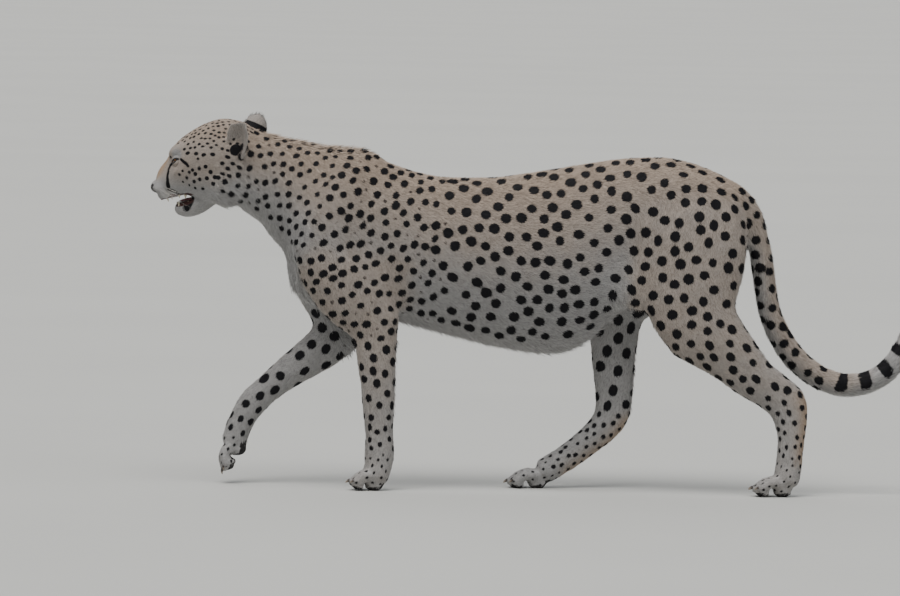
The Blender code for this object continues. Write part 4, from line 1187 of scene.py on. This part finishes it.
def long_coat(name, skin_mesh, pattern, weight, density_share, rng):
    """Long hair of one kind, as one piece."""
    density, long, wide, lift, curl, turning, towards = LONG_HAIR[name]
    roots = rooted(skin_mesh, weight * density * density_share, rng)
    normal = unit(roots.of(pattern.normals))
    flow = unit(roots.named("heading")) * (1 - turning) + unit(np.array(towards)) * turning
    flow = unit(squared_to(flow, normal))
    count = len(normal)
    flow = turned_about(flow, normal, rng.normal(0, 0.20, count))
    share = np.clip(roots.of(weight), 0.25, 1.0)
    length = long * share**0.7 * rng.uniform(0.65, 1.2, count)
    width = wide * rng.uniform(0.7, 1.25, count)
    rise = length * lift * rng.uniform(0.5, 1.1, count)
    return tufts("long_" + name, roots, pattern, normal, flow, length, width, rise, rng,
                 LONG_TUFT, curl)


# ---- materials -------------------------------------------------------------------------------
def chained(operation):
    """A sum's or product's plain and reflected methods: each makes one math node."""
    def plain(self, other):
        return self.shader.math(operation, self, other)

    def reflected(self, other):
        return self.shader.math(operation, other, self)

    return plain, reflected


class Value:
    """A shader socket that can stand in sums and products."""

    def __init__(self, shader, socket):
        self.shader, self.socket = shader, socket

    __add__, __radd__ = chained("ADD")
    __sub__, __rsub__ = chained("SUBTRACT")
    __mul__, __rmul__ = chained("MULTIPLY")


class Shader:
    """One material's nodes."""

    def __init__(self, name):
        self.material = bpy.data.materials.get(name) or bpy.data.materials.new(name)
        self.material.use_nodes = True
        self.tree = self.material.node_tree
        self.tree.nodes.clear()

    def node(self, kind, settings=None, values=None, output=0):
        """A node with its settings, its values or links by socket, and the output asked for."""
        made = self.tree.nodes.new(kind)
        for key, value in (settings or {}).items():
            setattr(made, key, value)
        for key, value in (values or {}).items():
            socket = made.inputs[key]
            if isinstance(value, Value):
                self.tree.links.new(value.socket, socket)
            else:
                socket.default_value = value
        return Value(self, made.outputs[output]) if len(made.outputs) else made

    def math(self, operation, first, second):
        return self.node("ShaderNodeMath", {"operation": operation}, {0: first, 1: second})

    def larger(self, first, second):
        return self.math("MAXIMUM", first, second)

    def ramped(self, value, low, high):
        """0 below low and 1 above high, or the other way round where low is above high."""
        return self.node("ShaderNodeMapRange", {"interpolation_type": "SMOOTHSTEP"},
                         {"Value": value, "From Min": low, "From Max": high})

    def field(self, name, vector=False):
        """A value stored on the corners."""
        return self.node("ShaderNodeAttribute", {"attribute_name": name},
                         output="Vector" if vector else "Fac")

    def noise(self, scale, vector=None, detail=3.0):
        return self.node("ShaderNodeTexNoise", {"noise_dimensions": "3D"},
                         {"Vector": vector or self.place(), "Scale": scale, "Detail": detail})

    def place(self):
        return self.node("ShaderNodeTexCoord", output="Object")

    def mixed(self, factor, first, second, how="MIX"):
        """Two colours mixed."""
        return self.node("ShaderNodeMix", {"data_type": "RGBA", "blend_type": how},
                         {0: factor, 6: first, 7: second}, output=2)

    def shaded(self, colour, light):
        """A colour times a brightness."""
        grey = self.node("ShaderNodeCombineColor", None, dict.fromkeys(range(3), light))
        return self.mixed(1.0, colour, grey, "MULTIPLY")

    def pebbles(self, scale):
        return self.node("ShaderNodeTexVoronoi", {"feature": "F1"},
                         {"Vector": self.place(), "Scale": scale})

    def blended(self, value, low, high, first, second):
        """The first colour where the value is below low, the second where it is above high."""
        return self.mixed(self.ramped(value, low, high), first, second)

    def bump(self, height, distance, strength):
        return self.node("ShaderNodeBump", None,
                         {"Height": height, "Distance": distance, "Strength": strength})

    def surface(self, **values):
        """The one surface shader, linked to the output."""
        sockets = {key.replace("_", " "): value for key, value in values.items()}
        shade = self.node("ShaderNodeBsdfPrincipled", None, sockets)
        self.node("ShaderNodeOutputMaterial", None, {"Surface": shade})
        return self.material


def rgb(red, green, blue):
    """A colour given as it looks on a screen, 0 to 255, turned linear."""
    share = np.array((red, green, blue)) / 255
    linear = np.where(share <= 0.04045, share / 12.92, ((share + 0.055) / 1.055) ** 2.4)
    return (*linear.tolist(), 1.0)


def marked_colour(shader, coat):
    """The colour of hide and hair: tan, pale and golden ground, then dots, spots and marks."""
    ragged = shader.noise(420.0, detail=2.0) - 0.5
    mottled = shader.noise(28.0, detail=4.0)
    pale = shader.field("pale") + (mottled - 0.5) * 0.35
    ground = shader.blended(pale, 0.0, 1.0, coat.tan, coat.pale)
    ground = shader.mixed(shader.field("gold"), ground, coat.gold)
    fine = shader.noise(900.0, detail=2.0)
    ground = shader.mixed(shader.ramped(fine, 0.35, 0.75) * 0.35, ground, coat.grizzle)
    dot = shader.ramped(shader.field("dot") + ragged * 0.0016, 0.0011, -0.0009) * 0.86
    ground = shader.mixed(dot, ground, coat.dot)
    spot = shader.ramped(shader.field("spot") + ragged * 0.0026, 0.0013, -0.0009)
    # the marks hold painted shade in the ears' hollows as well as the black face and ear marks
    mark = shader.ramped(shader.field("mark") + ragged * 0.0012, 0.0006, -0.0006)
    dark = shader.larger(spot, mark)
    worn = shader.mixed(shader.ramped(fine, 0.55, 0.9) * 0.45, coat.spot, coat.worn)
    return ground, dark, worn


def coat_material(coat):
    """Hair: the markings, darker at the root and lighter to the tip as painted shade, each tuft its
    own tone.
    """
    shader = Shader("coat")
    ground, dark, worn = marked_colour(shader, coat)
    tip, shade = shader.field("tip"), shader.field("shade")
    # painted shade: each tuft darkened towards its root, times a random tone of its own
    light = (0.46 + tip * 0.56) * (0.70 + shade * 0.56)
    colour = shader.mixed(dark, shader.shaded(ground, light), worn)
    strand = shader.noise(1600.0, detail=1.0)
    return shader.surface(Base_Color=colour, Roughness=0.58 + strand * 0.22 - dark * 0.10,
                          Specular_IOR_Level=0.22, Normal=shader.bump(strand, 0.0002, 0.5))


def skin_material(coat):
    """Hide under the hair, with the same markings darkened as painted shade, combed bump, and bare
    black or pink parts.
    """
    shader = Shader("skin")
    ground, dark, worn = marked_colour(shader, coat)
    comb = shader.noise(700.0, vector=shader.field("comb", vector=True), detail=3.0)
    # painted shade under the coat: the hide's colour darkened to 0.6 to 1.0 in combed streaks
    colour = shader.mixed(dark, shader.shaded(ground, 0.60 + comb * 0.40), worn)
    wet = shader.noise(240.0, detail=3.0)
    # the mouth's lining: dark pink flesh, darkened further as painted shade inside the mouth
    lining = shader.blended(wet, 0.35, 0.65, rgb(52, 34, 34), rgb(82, 56, 54))
    colour = shader.blended(shader.field("lining"), 0.3, 0.7, colour, lining)
    leather = shader.blended(wet, 0.3, 0.7, rgb(24, 23, 25), rgb(44, 41, 42))
    rim = shader.ramped(shader.field("margin"), 0.0036, 0.0022)
    bare = shader.larger(shader.larger(rim, shader.field("nose")), shader.field("sole"))
    bare = shader.ramped(bare, 0.3, 0.6)
    colour = shader.mixed(bare, colour, leather)
    wetness = shader.larger(shader.field("lining"), rim)
    height = comb * (1.0 - bare) + shader.pebbles(900.0) * bare
    return shader.surface(Base_Color=colour, Roughness=0.72 - wetness * 0.42 + comb * 0.1,
                          Specular_IOR_Level=0.30, Normal=shader.bump(height, 0.0006, 0.7))


def eye_material(eye):
    """Dark pupil, amber iris with rays, a dark edge and a brownish white."""
    shader = Shader("eye")
    look = shader.field("look")
    rays = shader.noise(5.0, vector=shader.field("turn", vector=True), detail=5.0)
    iris = shader.blended(rays, 0.35, 0.70, eye.iris, eye.iris_light)
    iris = shader.mixed(shader.ramped(look, 0.30, 0.20) * 0.6, iris, eye.iris_light)
    iris = shader.blended(look, 0.36, 0.43, iris, rgb(34, 22, 14))
    white = shader.blended(look, 0.46, 0.75, rgb(70, 52, 42), rgb(150, 134, 122))
    colour = shader.blended(look, 0.42, 0.46, iris, white)
    colour = shader.blended(look, 0.185, 0.165, colour, rgb(8, 7, 7))
    return shader.surface(Base_Color=colour, Roughness=0.06 + rays * 0.04, Coat_Weight=1.0,
                          Coat_Roughness=0.02)


def leather_material(face):
    """Damp black leather in pebbles."""
    shader = Shader("nose_leather")
    stain = shader.noise(160.0)
    colour = shader.blended(stain, 0.35, 0.7, face.leather, face.leather_worn)
    return shader.surface(Base_Color=colour, Roughness=0.34 + stain * 0.16,
                          Specular_IOR_Level=0.5,
                          Normal=shader.bump(shader.pebbles(820.0), 0.0005, 0.8))


def tongue_material(face):
    """Wet pink flesh with small raised points."""
    shader = Shader("tongue")
    stain = shader.noise(150.0)
    colour = shader.blended(stain, 0.3, 0.7, face.tongue, rgb(96, 56, 60))
    return shader.surface(Base_Color=colour, Roughness=0.30 + stain * 0.15,
                          Normal=shader.bump(shader.pebbles(1100.0), 0.0004, 0.7))


def tooth_material(face):
    """Ivory, browner to the gum, with fine cracks along it."""
    shader = Shader("tooth")
    stain = shader.noise(300.0, detail=4.0)
    colour = shader.blended(shader.field("reach") + stain * 0.3, 0.55, 0.05, face.tooth,
                            rgb(176, 142, 92))
    return shader.surface(Base_Color=colour, Roughness=0.22 + stain * 0.12, Coat_Weight=0.3,
                          Normal=shader.bump(stain, 0.0002, 0.4))


def claw_material(paw):
    """Horn, dark at the root and paler to the point, grained along it."""
    shader = Shader("claw")
    grain = shader.noise(700.0, detail=4.0)
    colour = shader.blended(shader.field("reach") + grain * 0.35, 0.35, 1.1, paw.claw,
                            paw.claw_point)
    return shader.surface(Base_Color=colour, Roughness=0.32 + grain * 0.2,
                          Normal=shader.bump(grain, 0.0002, 0.5))


def whisker_material():
    """White hair, a little yellow at the root."""
    shader = Shader("whisker")
    stain = shader.noise(500.0)
    colour = shader.blended(shader.field("reach") + stain * 0.2, 0.0, 0.5, rgb(120, 108, 90),
                            rgb(226, 222, 214))
    return shader.surface(Base_Color=colour, Roughness=0.35 + stain * 0.1)


def floor_material(view):
    """A pale matt floor with a faint mottle."""
    shader = Shader("floor")
    stain = shader.noise(0.6, detail=4.0)
    duller = (*(channel * 0.97 for channel in view.floor[:3]), 1.0)
    colour = shader.blended(stain, 0.3, 0.7, view.floor, duller)
    return shader.surface(Base_Color=colour, Roughness=0.85 + stain * 0.1)


# ---- surfaces from two parameters ------------------------------------------------------------
def closed_tube(rows, poles):
    """Corners and triangles of rings of corners joined in a tube and closed with two poles."""
    count, around = rows.shape[:2]
    corners = np.vstack((rows.reshape(-1, 3), poles))
    ring = np.arange(around)
    step = np.arange(count - 1)[:, None] * around
    a, b = step + ring, step + np.roll(ring, -1)
    sides = np.concatenate((np.stack((a, b, b + around), -1).reshape(-1, 3),
                            np.stack((a, b + around, a + around), -1).reshape(-1, 3)))
    first, last = len(corners) - 2, len(corners) - 1
    top = (count - 1) * around
    start = np.stack((np.full(around, first), np.roll(ring, -1), ring), -1)
    end = np.stack((np.full(around, last), top + ring, top + np.roll(ring, -1)), -1)
    return corners, np.vstack((sides, start, end))


def swept(path, radii, around, flat=1.0, upward=(0.0, 0.0, 1.0)):
    """A closed horn: circles of the given radii square to a path, flattened upward.

    A corner is path(t) + r(t) (cos a * level + flat * sin a * raised)."""
    path = np.asarray(path, float)
    direction = unit(np.gradient(path, axis=0))
    level = unit(np.cross(direction, np.asarray(upward, float)))
    raised = np.cross(level, direction)
    turn = turns(around)
    ring = (np.cos(turn)[None, :, None] * level[:, None]
            + flat * np.sin(turn)[None, :, None] * raised[:, None])
    rows = path[1:-1, None] + ring[1:-1] * np.asarray(radii)[1:-1, None, None]
    corners, faces = closed_tube(rows[:, ::-1], np.vstack((path[0], path[-1])))
    share = np.r_[np.repeat(np.linspace(0, 1, len(path))[1:-1], around), 0.0, 1.0]
    return corners, faces, share


def joined(name, forms):
    """Several forms in one mesh, with the share along each stored as reach."""
    corners, faces, shares, start = [], [], [], 0
    for form, triangles, share in forms:
        corners.append(form)
        faces.append(triangles + start)
        shares.append(share)
        start += len(form)
    mesh = mesh_from(name, np.vstack(corners), np.vstack(faces))
    stored(mesh, "reach", np.concatenate(shares))
    return mesh


def on_head(form):
    """A form of the straight head, turned with the head."""
    corners, faces, share = form
    return posed(corners), faces, share


def outward(mesh):
    """Turns all faces outwards if the mesh is inside out."""
    corners = corners_of(mesh)[triangles_of(mesh)]
    volume = (corners[:, 0] * np.cross(corners[:, 1], corners[:, 2])).sum()
    if volume < 0:
        mesh.flip_normals()
    return mesh


def eyeball(side):
    """A ball with the cornea's bulge: r = R (1 + 0.045 (1 - (a / 0.5)^2)^2).

    The bulge is where a, the angle from the gaze, is under 0.5."""
    middle, gaze, along, across = eye_axes(side)
    fall = np.concatenate((np.linspace(0.02, 0.9, 44), np.linspace(0.95, 3.10, 24)))
    turn = turns(48)
    bulge = 1 + CORNEA * np.clip(1 - (fall / 0.5) ** 2, 0, 1) ** 2
    radius = (EYE_RADIUS * bulge)[:, None, None]
    direction = (np.cos(fall)[:, None, None] * gaze
                 + np.sin(fall)[:, None, None] * (np.cos(turn)[None, :, None] * along
                                                  + np.sin(turn)[None, :, None] * across))
    poles = np.vstack((middle + gaze * EYE_RADIUS * (1 + CORNEA), middle - gaze * EYE_RADIUS))
    corners, faces = closed_tube(middle + radius * direction, poles)
    mesh = mesh_from(SIDES[side] + "_eyeball", posed(corners), faces)
    stored(mesh, "look", np.r_[np.repeat(fall, len(turn)), 0.0, math.pi])
    rays = np.stack(np.broadcast_arrays(np.cos(turn)[None], np.sin(turn)[None],
                                        fall[:, None] * 0.35), -1).reshape(-1, 3)
    stored(mesh, "turn", np.vstack((rays, (0, 0, 0), (0, 0, 1))))
    return outward(mesh)


def nose_leather():
    """An egg with two nostrils: each takes 3.4 mm off the egg where it opens, and curls back."""
    fall = np.linspace(0.03, math.pi - 0.03, 60)[:, None]
    turn = turns(84)[None, :]
    forward, sideways = np.cos(fall) + 0 * turn, np.sin(fall) * np.cos(turn)
    upward = np.sin(fall) * np.sin(turn)
    narrow = 1 - 0.30 * ramp(-upward, 0.1, 0.9)
    size = np.ones_like(upward)
    front = ramp(forward, 0.0, 0.30)
    for side in SIDES:
        hollow, curl, rim = (
            np.exp(-(((side * sideways - outer) / wide) ** 2 + ((upward - raised) / tall) ** 2))
            for outer, wide, raised, tall in ((0.52, 0.20, -0.12, 0.26), (0.80, 0.14, -0.02, 0.15),
                                              (0.50, 0.34, -0.10, 0.44)))
        size = size - (0.36 * hollow + 0.22 * curl - 0.07 * rim) * front
    groove = np.exp(-(sideways / 0.055) ** 2) * ramp(-upward, -0.2, 0.4) * front
    size = size - 0.09 * groove
    radii = np.array(NOSE_RADII) * 1.03
    rows = np.stack((-forward * radii[0] * size, sideways * narrow * radii[1] * size,
                     upward * radii[2] * size), -1) + NOSE_CENTRE
    poles = np.array(NOSE_CENTRE) + np.array(((-radii[0], 0, 0), (radii[0], 0, 0)))
    corners, faces = closed_tube(rows, poles)
    return outward(mesh_from("nose_leather", posed(corners), faces))


TONGUE_LINE = ((-0.620, 0, 0.6438), (-0.628, 0, 0.6434), (-0.638, 0, 0.6422), (-0.648, 0, 0.6402),
               (-0.6565, 0, 0.6380), (-0.6635, 0, 0.6358), (-0.6660, 0, 0.6350))
TONGUE_HALF_WIDTHS = (0.004, 0.0116, 0.0118, 0.0108, 0.0092, 0.0062, 0.001)
# Teeth of one side: root, tip (x, y outwards, z) and radius. The canine comes first.
UPPER_TEETH = (((-0.6890, 0.0150, 0.6540), (-0.6845, 0.0155, 0.6355), 0.0036),
               ((-0.6930, 0.0075, 0.6455), (-0.6935, 0.0075, 0.6395), 0.0015),
               ((-0.6940, 0.0045, 0.6453), (-0.6947, 0.0045, 0.6400), 0.0013),
               ((-0.6945, 0.0015, 0.6451), (-0.6952, 0.0015, 0.6402), 0.0013),
               ((-0.6580, 0.0200, 0.6560), (-0.6575, 0.0205, 0.6455), 0.0034),
               ((-0.6430, 0.0215, 0.6550), (-0.6430, 0.0220, 0.6455), 0.0040))
LOWER_TEETH = (((-0.6590, 0.0130, 0.6170), (-0.6610, 0.0145, 0.6390), 0.0034),
               ((-0.6665, 0.0068, 0.6280), (-0.6680, 0.0070, 0.6350), 0.0014),
               ((-0.6675, 0.0040, 0.6280), (-0.6690, 0.0042, 0.6348), 0.0012),
               ((-0.6680, 0.0014, 0.6280), (-0.6695, 0.0014, 0.6346), 0.0012),
               ((-0.6380, 0.0165, 0.6310), (-0.6380, 0.0170, 0.6400), 0.0032))


def fang(root, tip, radius, hook):
    """A tooth or claw: circles shrinking as (1 - t)^0.62 along an arc from root to tip."""
    share = np.linspace(0, 1, 12)[:, None]
    root, tip = np.asarray(root, float), np.asarray(tip, float)
    path = root + share * (tip - root) + 4 * share * (1 - share) * np.asarray(hook, float)
    radii = radius * (1 - share[:, 0] * 0.985) ** 0.62
    return swept(path, radii, 14, upward=(0.0, 1.0, 0.0))


def teeth(name, rows, hook):
    """The teeth of one jaw, each hooked in proportion to its height."""
    forms = []
    for side in SIDES:
        for root, tip, radius in rows:
            turn = np.array((1, side, 1))
            bow = np.array(hook) * (np.linalg.norm(np.subtract(tip, root)) / 0.018)
            forms.append(on_head(fang(root * turn, tip * turn, radius, bow)))
    return outward(joined(name, forms))


def tongue():
    """A flat tube of varying width with a groove down its middle."""
    stations = np.asarray(TONGUE_LINE, float)
    at = np.linspace(0, len(stations) - 1, 40)
    path = np.stack([np.interp(at, np.arange(len(stations)), stations[:, axis])
                     for axis in range(3)], axis=1)
    widths = np.interp(at, np.arange(len(stations)), TONGUE_HALF_WIDTHS)
    corners, faces, share = swept(path, widths, 32, flat=0.24)
    middle = np.exp(-(corners[:, 1] / 0.0022) ** 2) * 0.0008
    corners[:, 2] -= middle * (corners[:, 2] > np.interp(-corners[:, 0], -path[:, 0], path[:, 2]))
    return outward(joined("tongue_flesh", [on_head((corners, faces, share))]))


WHISKER_ROWS = ((0.668, 4), (0.662, 5), (0.656, 4))


def whiskers(rng):
    """Tapering hairs that leave the lip pads sideways and curl back and down."""
    forms = []
    for side in SIDES:
        for height, count in WHISKER_ROWS:
            for number in range(count):
                start = np.array((-0.7020 + 0.0062 * number, side * (0.0250 + 0.0022 * number),
                                  height + 0.0012 * number))
                length = rng.uniform(0.040, 0.072)
                away = np.array((0.35 + 0.12 * number, side * 1.0, rng.uniform(-0.30, 0.10)))
                share = np.linspace(0, 1, 12)[:, None]
                path = start + unit(away) * share * length
                path = path + share**2 * length * np.array((0.42, -side * 0.22, -0.16))
                radii = 0.00030 * (1 - share[:, 0] * 0.85)
                forms.append(on_head(swept(path, radii, 5)))
    return outward(joined("whiskers", forms))


def claws(paw):
    """The four claws of a paw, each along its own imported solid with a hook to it."""
    names = [f"{paw}_claw_{number}" for number in range(1, 5)]
    _, forward, upward = paw_axes(paw)
    forms = []
    for name in names:
        corners = corners_of(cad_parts[name].data)
        middle = corners.mean(axis=0)
        axis = np.linalg.svd(corners - middle)[2][0]
        axis = axis if axis @ (forward - 0.8 * upward) > 0 else -axis
        reach = (corners - middle) @ axis
        spread = lengths_of(corners - middle - reach[:, None] * axis).max()
        root, tip = middle + axis * reach.min(), middle + axis * reach.max()
        forms.append(fang(root, tip, spread, upward * 0.0012))
    return outward(joined(f"{paw}_claws", forms)), names


# ---- settings and operators ------------------------------------------------------------------
def colour_property(name, red, green, blue):
    return FloatVectorProperty(name=name, description=name + " colour", subtype="COLOR", size=4,
                               min=0.0, max=1.0, default=rgb(red, green, blue))


class CheetahCoat(PropertyGroup):
    """Colours of the hair and how thickly it stands."""

    tan: colour_property("Tan", 204, 188, 174)
    # The white of the underside, chin and inner legs, greyed as painted shade
    pale: colour_property("Pale", 195, 194, 194)
    gold: colour_property("Gold", 204, 172, 140)
    grizzle: colour_property("Grizzle", 166, 154, 144)
    dot: colour_property("Dot", 58, 47, 46)
    spot: colour_property("Spot", 20, 19, 24)
    worn: colour_property("Worn spot", 42, 38, 42)
    density: FloatProperty(name="Density", description="Share of the full number of tufts",
                           default=1.0, min=0.05, max=1.2, subtype="FACTOR")


class CheetahEye(PropertyGroup):
    """Colours of the eye."""

    iris: colour_property("Iris", 92, 54, 24)
    iris_light: colour_property("Light of the iris", 150, 102, 48)


class CheetahFace(PropertyGroup):
    """Colours of the nose, tongue and teeth."""

    leather: colour_property("Nose leather", 30, 28, 30)
    leather_worn: colour_property("Worn nose leather", 62, 56, 56)
    tongue: colour_property("Tongue", 128, 78, 80)
    tooth: colour_property("Tooth", 206, 198, 176)


class CheetahPaw(PropertyGroup):
    """Colours of the claws."""

    claw: colour_property("Claw", 52, 44, 40)
    claw_point: colour_property("Claw point", 150, 138, 124)


class CheetahView(PropertyGroup):
    """The camera and the light."""

    elevation: FloatProperty(name="Elevation", description="Height of the view over the horizon",
                             default=math.radians(3), subtype="ANGLE")
    roll: FloatProperty(name="Roll", description="Tilt of the view, right side down",
                        default=math.radians(0.9), subtype="ANGLE")
    distance: FloatProperty(name="Distance", description="From the camera to its aim",
                            default=18.0, unit="LENGTH")
    span: FloatProperty(name="Span", description="Width of the view at its aim", default=2.02,
                        unit="LENGTH")
    aim: FloatVectorProperty(name="Aim", description="Place in the middle of the view", size=3,
                             default=(-0.1888, 0.0, 0.430), subtype="XYZ", unit="LENGTH")
    floor: colour_property("Floor", 206, 206, 202)
    key: FloatProperty(name="Key", description="Strength of the main light", default=2.75)
    sky: FloatProperty(name="Sky", description="Strength of the light from all round",
                       default=0.30)


class CHEETAH_OT_skin(Operator):
    """Makes the one skin over all the flesh, with its markings"""

    bl_idname = "cheetah.skin"
    bl_label = "Skin"

    def execute(self, context):
        mesh = finished_skin()
        shown(mesh, skin_material(context.scene.cheetah_coat), FLESH)
        return {"FINISHED"}


class CHEETAH_OT_coat(Operator):
    """Grows the short coat over the skin"""

    bl_idname = "cheetah.coat"
    bl_label = "Coat"

    def execute(self, context):
        settings = context.scene.cheetah_coat
        skin_mesh = bpy.data.objects["skin"].data
        material = coat_material(settings)
        pattern = Pattern(skin_mesh)
        rng = np.random.default_rng(SEED + 1)
        for name, (parts, side) in COAT_GROUPS.items():
            shown(short_coat(name, skin_mesh, pattern, parts, side, settings.density, rng),
                  material)
        for name, weight in tops_and_edges(skin_mesh).items():
            shown(long_coat(name, skin_mesh, pattern, weight, settings.density, rng),
                  material)
        return {"FINISHED"}


class CHEETAH_OT_eyes(Operator):
    """Sets both eyeballs"""

    bl_idname = "cheetah.eyes"
    bl_label = "Eyes"

    def execute(self, context):
        material = eye_material(context.scene.cheetah_eye)
        for side, hand in SIDES.items():
            shown(eyeball(side), material, [hand + "_eye"])
        return {"FINISHED"}


class CHEETAH_OT_nose(Operator):
    """Sets the nose leather"""

    bl_idname = "cheetah.nose"
    bl_label = "Nose"

    def execute(self, context):
        material = leather_material(context.scene.cheetah_face)
        shown(nose_leather(), material, ["nose"])
        return {"FINISHED"}


class CHEETAH_OT_mouth(Operator):
    """Sets the tongue and the teeth"""

    bl_idname = "cheetah.mouth"
    bl_label = "Mouth"

    def execute(self, context):
        face = context.scene.cheetah_face
        shown(tongue(), tongue_material(face), ["tongue"])
        material = tooth_material(face)
        for jaw, rows, hook in (("upper", UPPER_TEETH, (-0.0007, 0, 0)),
                                ("lower", LOWER_TEETH, (-0.0009, 0, 0))):
            shown(teeth(jaw + "_teeth", rows, hook), material,
                  [f"{hand}_{jaw}_canine" for hand in SIDES.values()])
        return {"FINISHED"}


class CHEETAH_OT_whiskers(Operator):
    """Sets the whiskers"""

    bl_idname = "cheetah.whiskers"
    bl_label = "Whiskers"

    def execute(self, context):
        shown(whiskers(np.random.default_rng(SEED + 2)), whisker_material())
        return {"FINISHED"}


class CHEETAH_OT_claws(Operator):
    """Sets the claws of the four paws"""

    bl_idname = "cheetah.claws"
    bl_label = "Claws"

    def execute(self, context):
        material = claw_material(context.scene.cheetah_paw)
        for paw in PAWS:
            mesh, names = claws(paw)
            shown(mesh, material, names)
        return {"FINISHED"}


SENSOR_WIDTH = 36.0
FLOOR_SIDES = 96
FLOOR_RINGS = (1.0, 8.0, 40.0, 160.0)
# Lamp: how far it is tipped and turned, its spread (degrees), strength beside the key's, tint
LAMPS = {"key": (28, -20, 45, 1.0, (1.0, 0.985, 0.96)),
         "fill": (58, 55, 60, 0.16, (0.94, 0.97, 1.0)),
         "back": (-42, 20, 60, 0.24, (0.97, 0.98, 1.0))}


def floor_disc():
    """Rings of quads that widen outwards, closed in the middle by a fan of triangles."""
    turn = turns(FLOOR_SIDES)
    rim = np.stack((np.cos(turn), np.sin(turn), np.zeros(FLOOR_SIDES)), axis=1)
    rows = np.array(FLOOR_RINGS)[:, None, None] * rim
    ring = np.arange(FLOOR_SIDES)
    step = np.arange(len(FLOOR_RINGS) - 1)[:, None] * FLOOR_SIDES
    a, b = step + ring, step + np.roll(ring, -1)
    quads = np.stack((a, a + FLOOR_SIDES, b + FLOOR_SIDES, b), -1).reshape(-1, 4)
    mesh = mesh_from("floor", np.vstack((rows.reshape(-1, 3), (0, 0, 0))), quads)
    fan = bmesh.new()
    fan.from_mesh(mesh)
    fan.verts.ensure_lookup_table()
    for number in range(FLOOR_SIDES):
        fan.faces.new((fan.verts[number], fan.verts[(number + 1) % FLOOR_SIDES], fan.verts[-1]))
    fan.to_mesh(mesh)
    fan.free()
    return mesh


class CHEETAH_OT_stage(Operator):
    """Sets the floor, the light and the camera"""

    bl_idname = "cheetah.stage"
    bl_label = "Stage"

    def execute(self, context):
        view = context.scene.cheetah_view
        scene = context.scene
        floor = linked("floor", floor_disc())
        floor.data.materials.append(floor_material(view))
        aim = Vector(view.aim)
        back = Vector((0, -math.cos(view.elevation), math.sin(view.elevation)))
        camera = linked("camera", bpy.data.cameras.new("camera"))
        camera.location = aim + back * view.distance
        tilt = Euler((math.pi / 2 - view.elevation, 0, 0)).to_matrix()
        camera.rotation_euler = (tilt @ Matrix.Rotation(view.roll, 3, "Z")).to_euler()
        camera.data.sensor_width = SENSOR_WIDTH
        camera.data.lens = SENSOR_WIDTH * view.distance / view.span
        camera.data.clip_end = 2.5 * FLOOR_RINGS[-1]
        scene.camera = camera
        for name, (tip, turn, spread, share, tint) in LAMPS.items():
            data = bpy.data.lights.new(name, "SUN")
            data.angle, data.energy, data.color = math.radians(spread), view.key * share, tint
            lamp = linked(name, data)
            lamp.rotation_euler = math.radians(tip), 0, math.radians(turn)
        world = bpy.data.worlds.new("sky")
        world.use_nodes = True
        background = world.node_tree.nodes["Background"]
        background.inputs["Color"].default_value = rgb(214, 218, 222)
        background.inputs["Strength"].default_value = view.sky
        scene.world = world
        return {"FINISHED"}


STEPS = (CHEETAH_OT_skin, CHEETAH_OT_coat, CHEETAH_OT_eyes, CHEETAH_OT_nose, CHEETAH_OT_mouth,
         CHEETAH_OT_whiskers, CHEETAH_OT_claws, CHEETAH_OT_stage)


class CHEETAH_PT_panel(Panel):
    """Lists the steps in their order"""

    bl_label = "Cheetah"
    bl_idname = "CHEETAH_PT_panel"
    bl_space_type = "VIEW_3D"
    bl_region_type = "UI"
    bl_category = "Cheetah"

    def draw(self, context):
        for step in STEPS:
            self.layout.operator(step.bl_idname)


SETTINGS = {"cheetah_coat": CheetahCoat, "cheetah_eye": CheetahEye, "cheetah_face": CheetahFace,
            "cheetah_paw": CheetahPaw, "cheetah_view": CheetahView}
CLASSES = (*SETTINGS.values(), *STEPS, CHEETAH_PT_panel)


def register():
    for each in CLASSES:
        bpy.utils.register_class(each)
    for name, group in SETTINGS.items():
        setattr(bpy.types.Scene, name, PointerProperty(type=group))


def unregister():
    for name in SETTINGS:
        delattr(bpy.types.Scene, name)
    for each in reversed(CLASSES):
        bpy.utils.unregister_class(each)


def main():
    """Runs every step."""
    register()
    bpy.ops.cheetah.skin()
    bpy.ops.cheetah.coat()
    bpy.ops.cheetah.eyes()
    bpy.ops.cheetah.nose()
    bpy.ops.cheetah.mouth()
    bpy.ops.cheetah.whiskers()
    bpy.ops.cheetah.claws()
    bpy.ops.cheetah.stage()


if __name__ == "__main__":
    main()
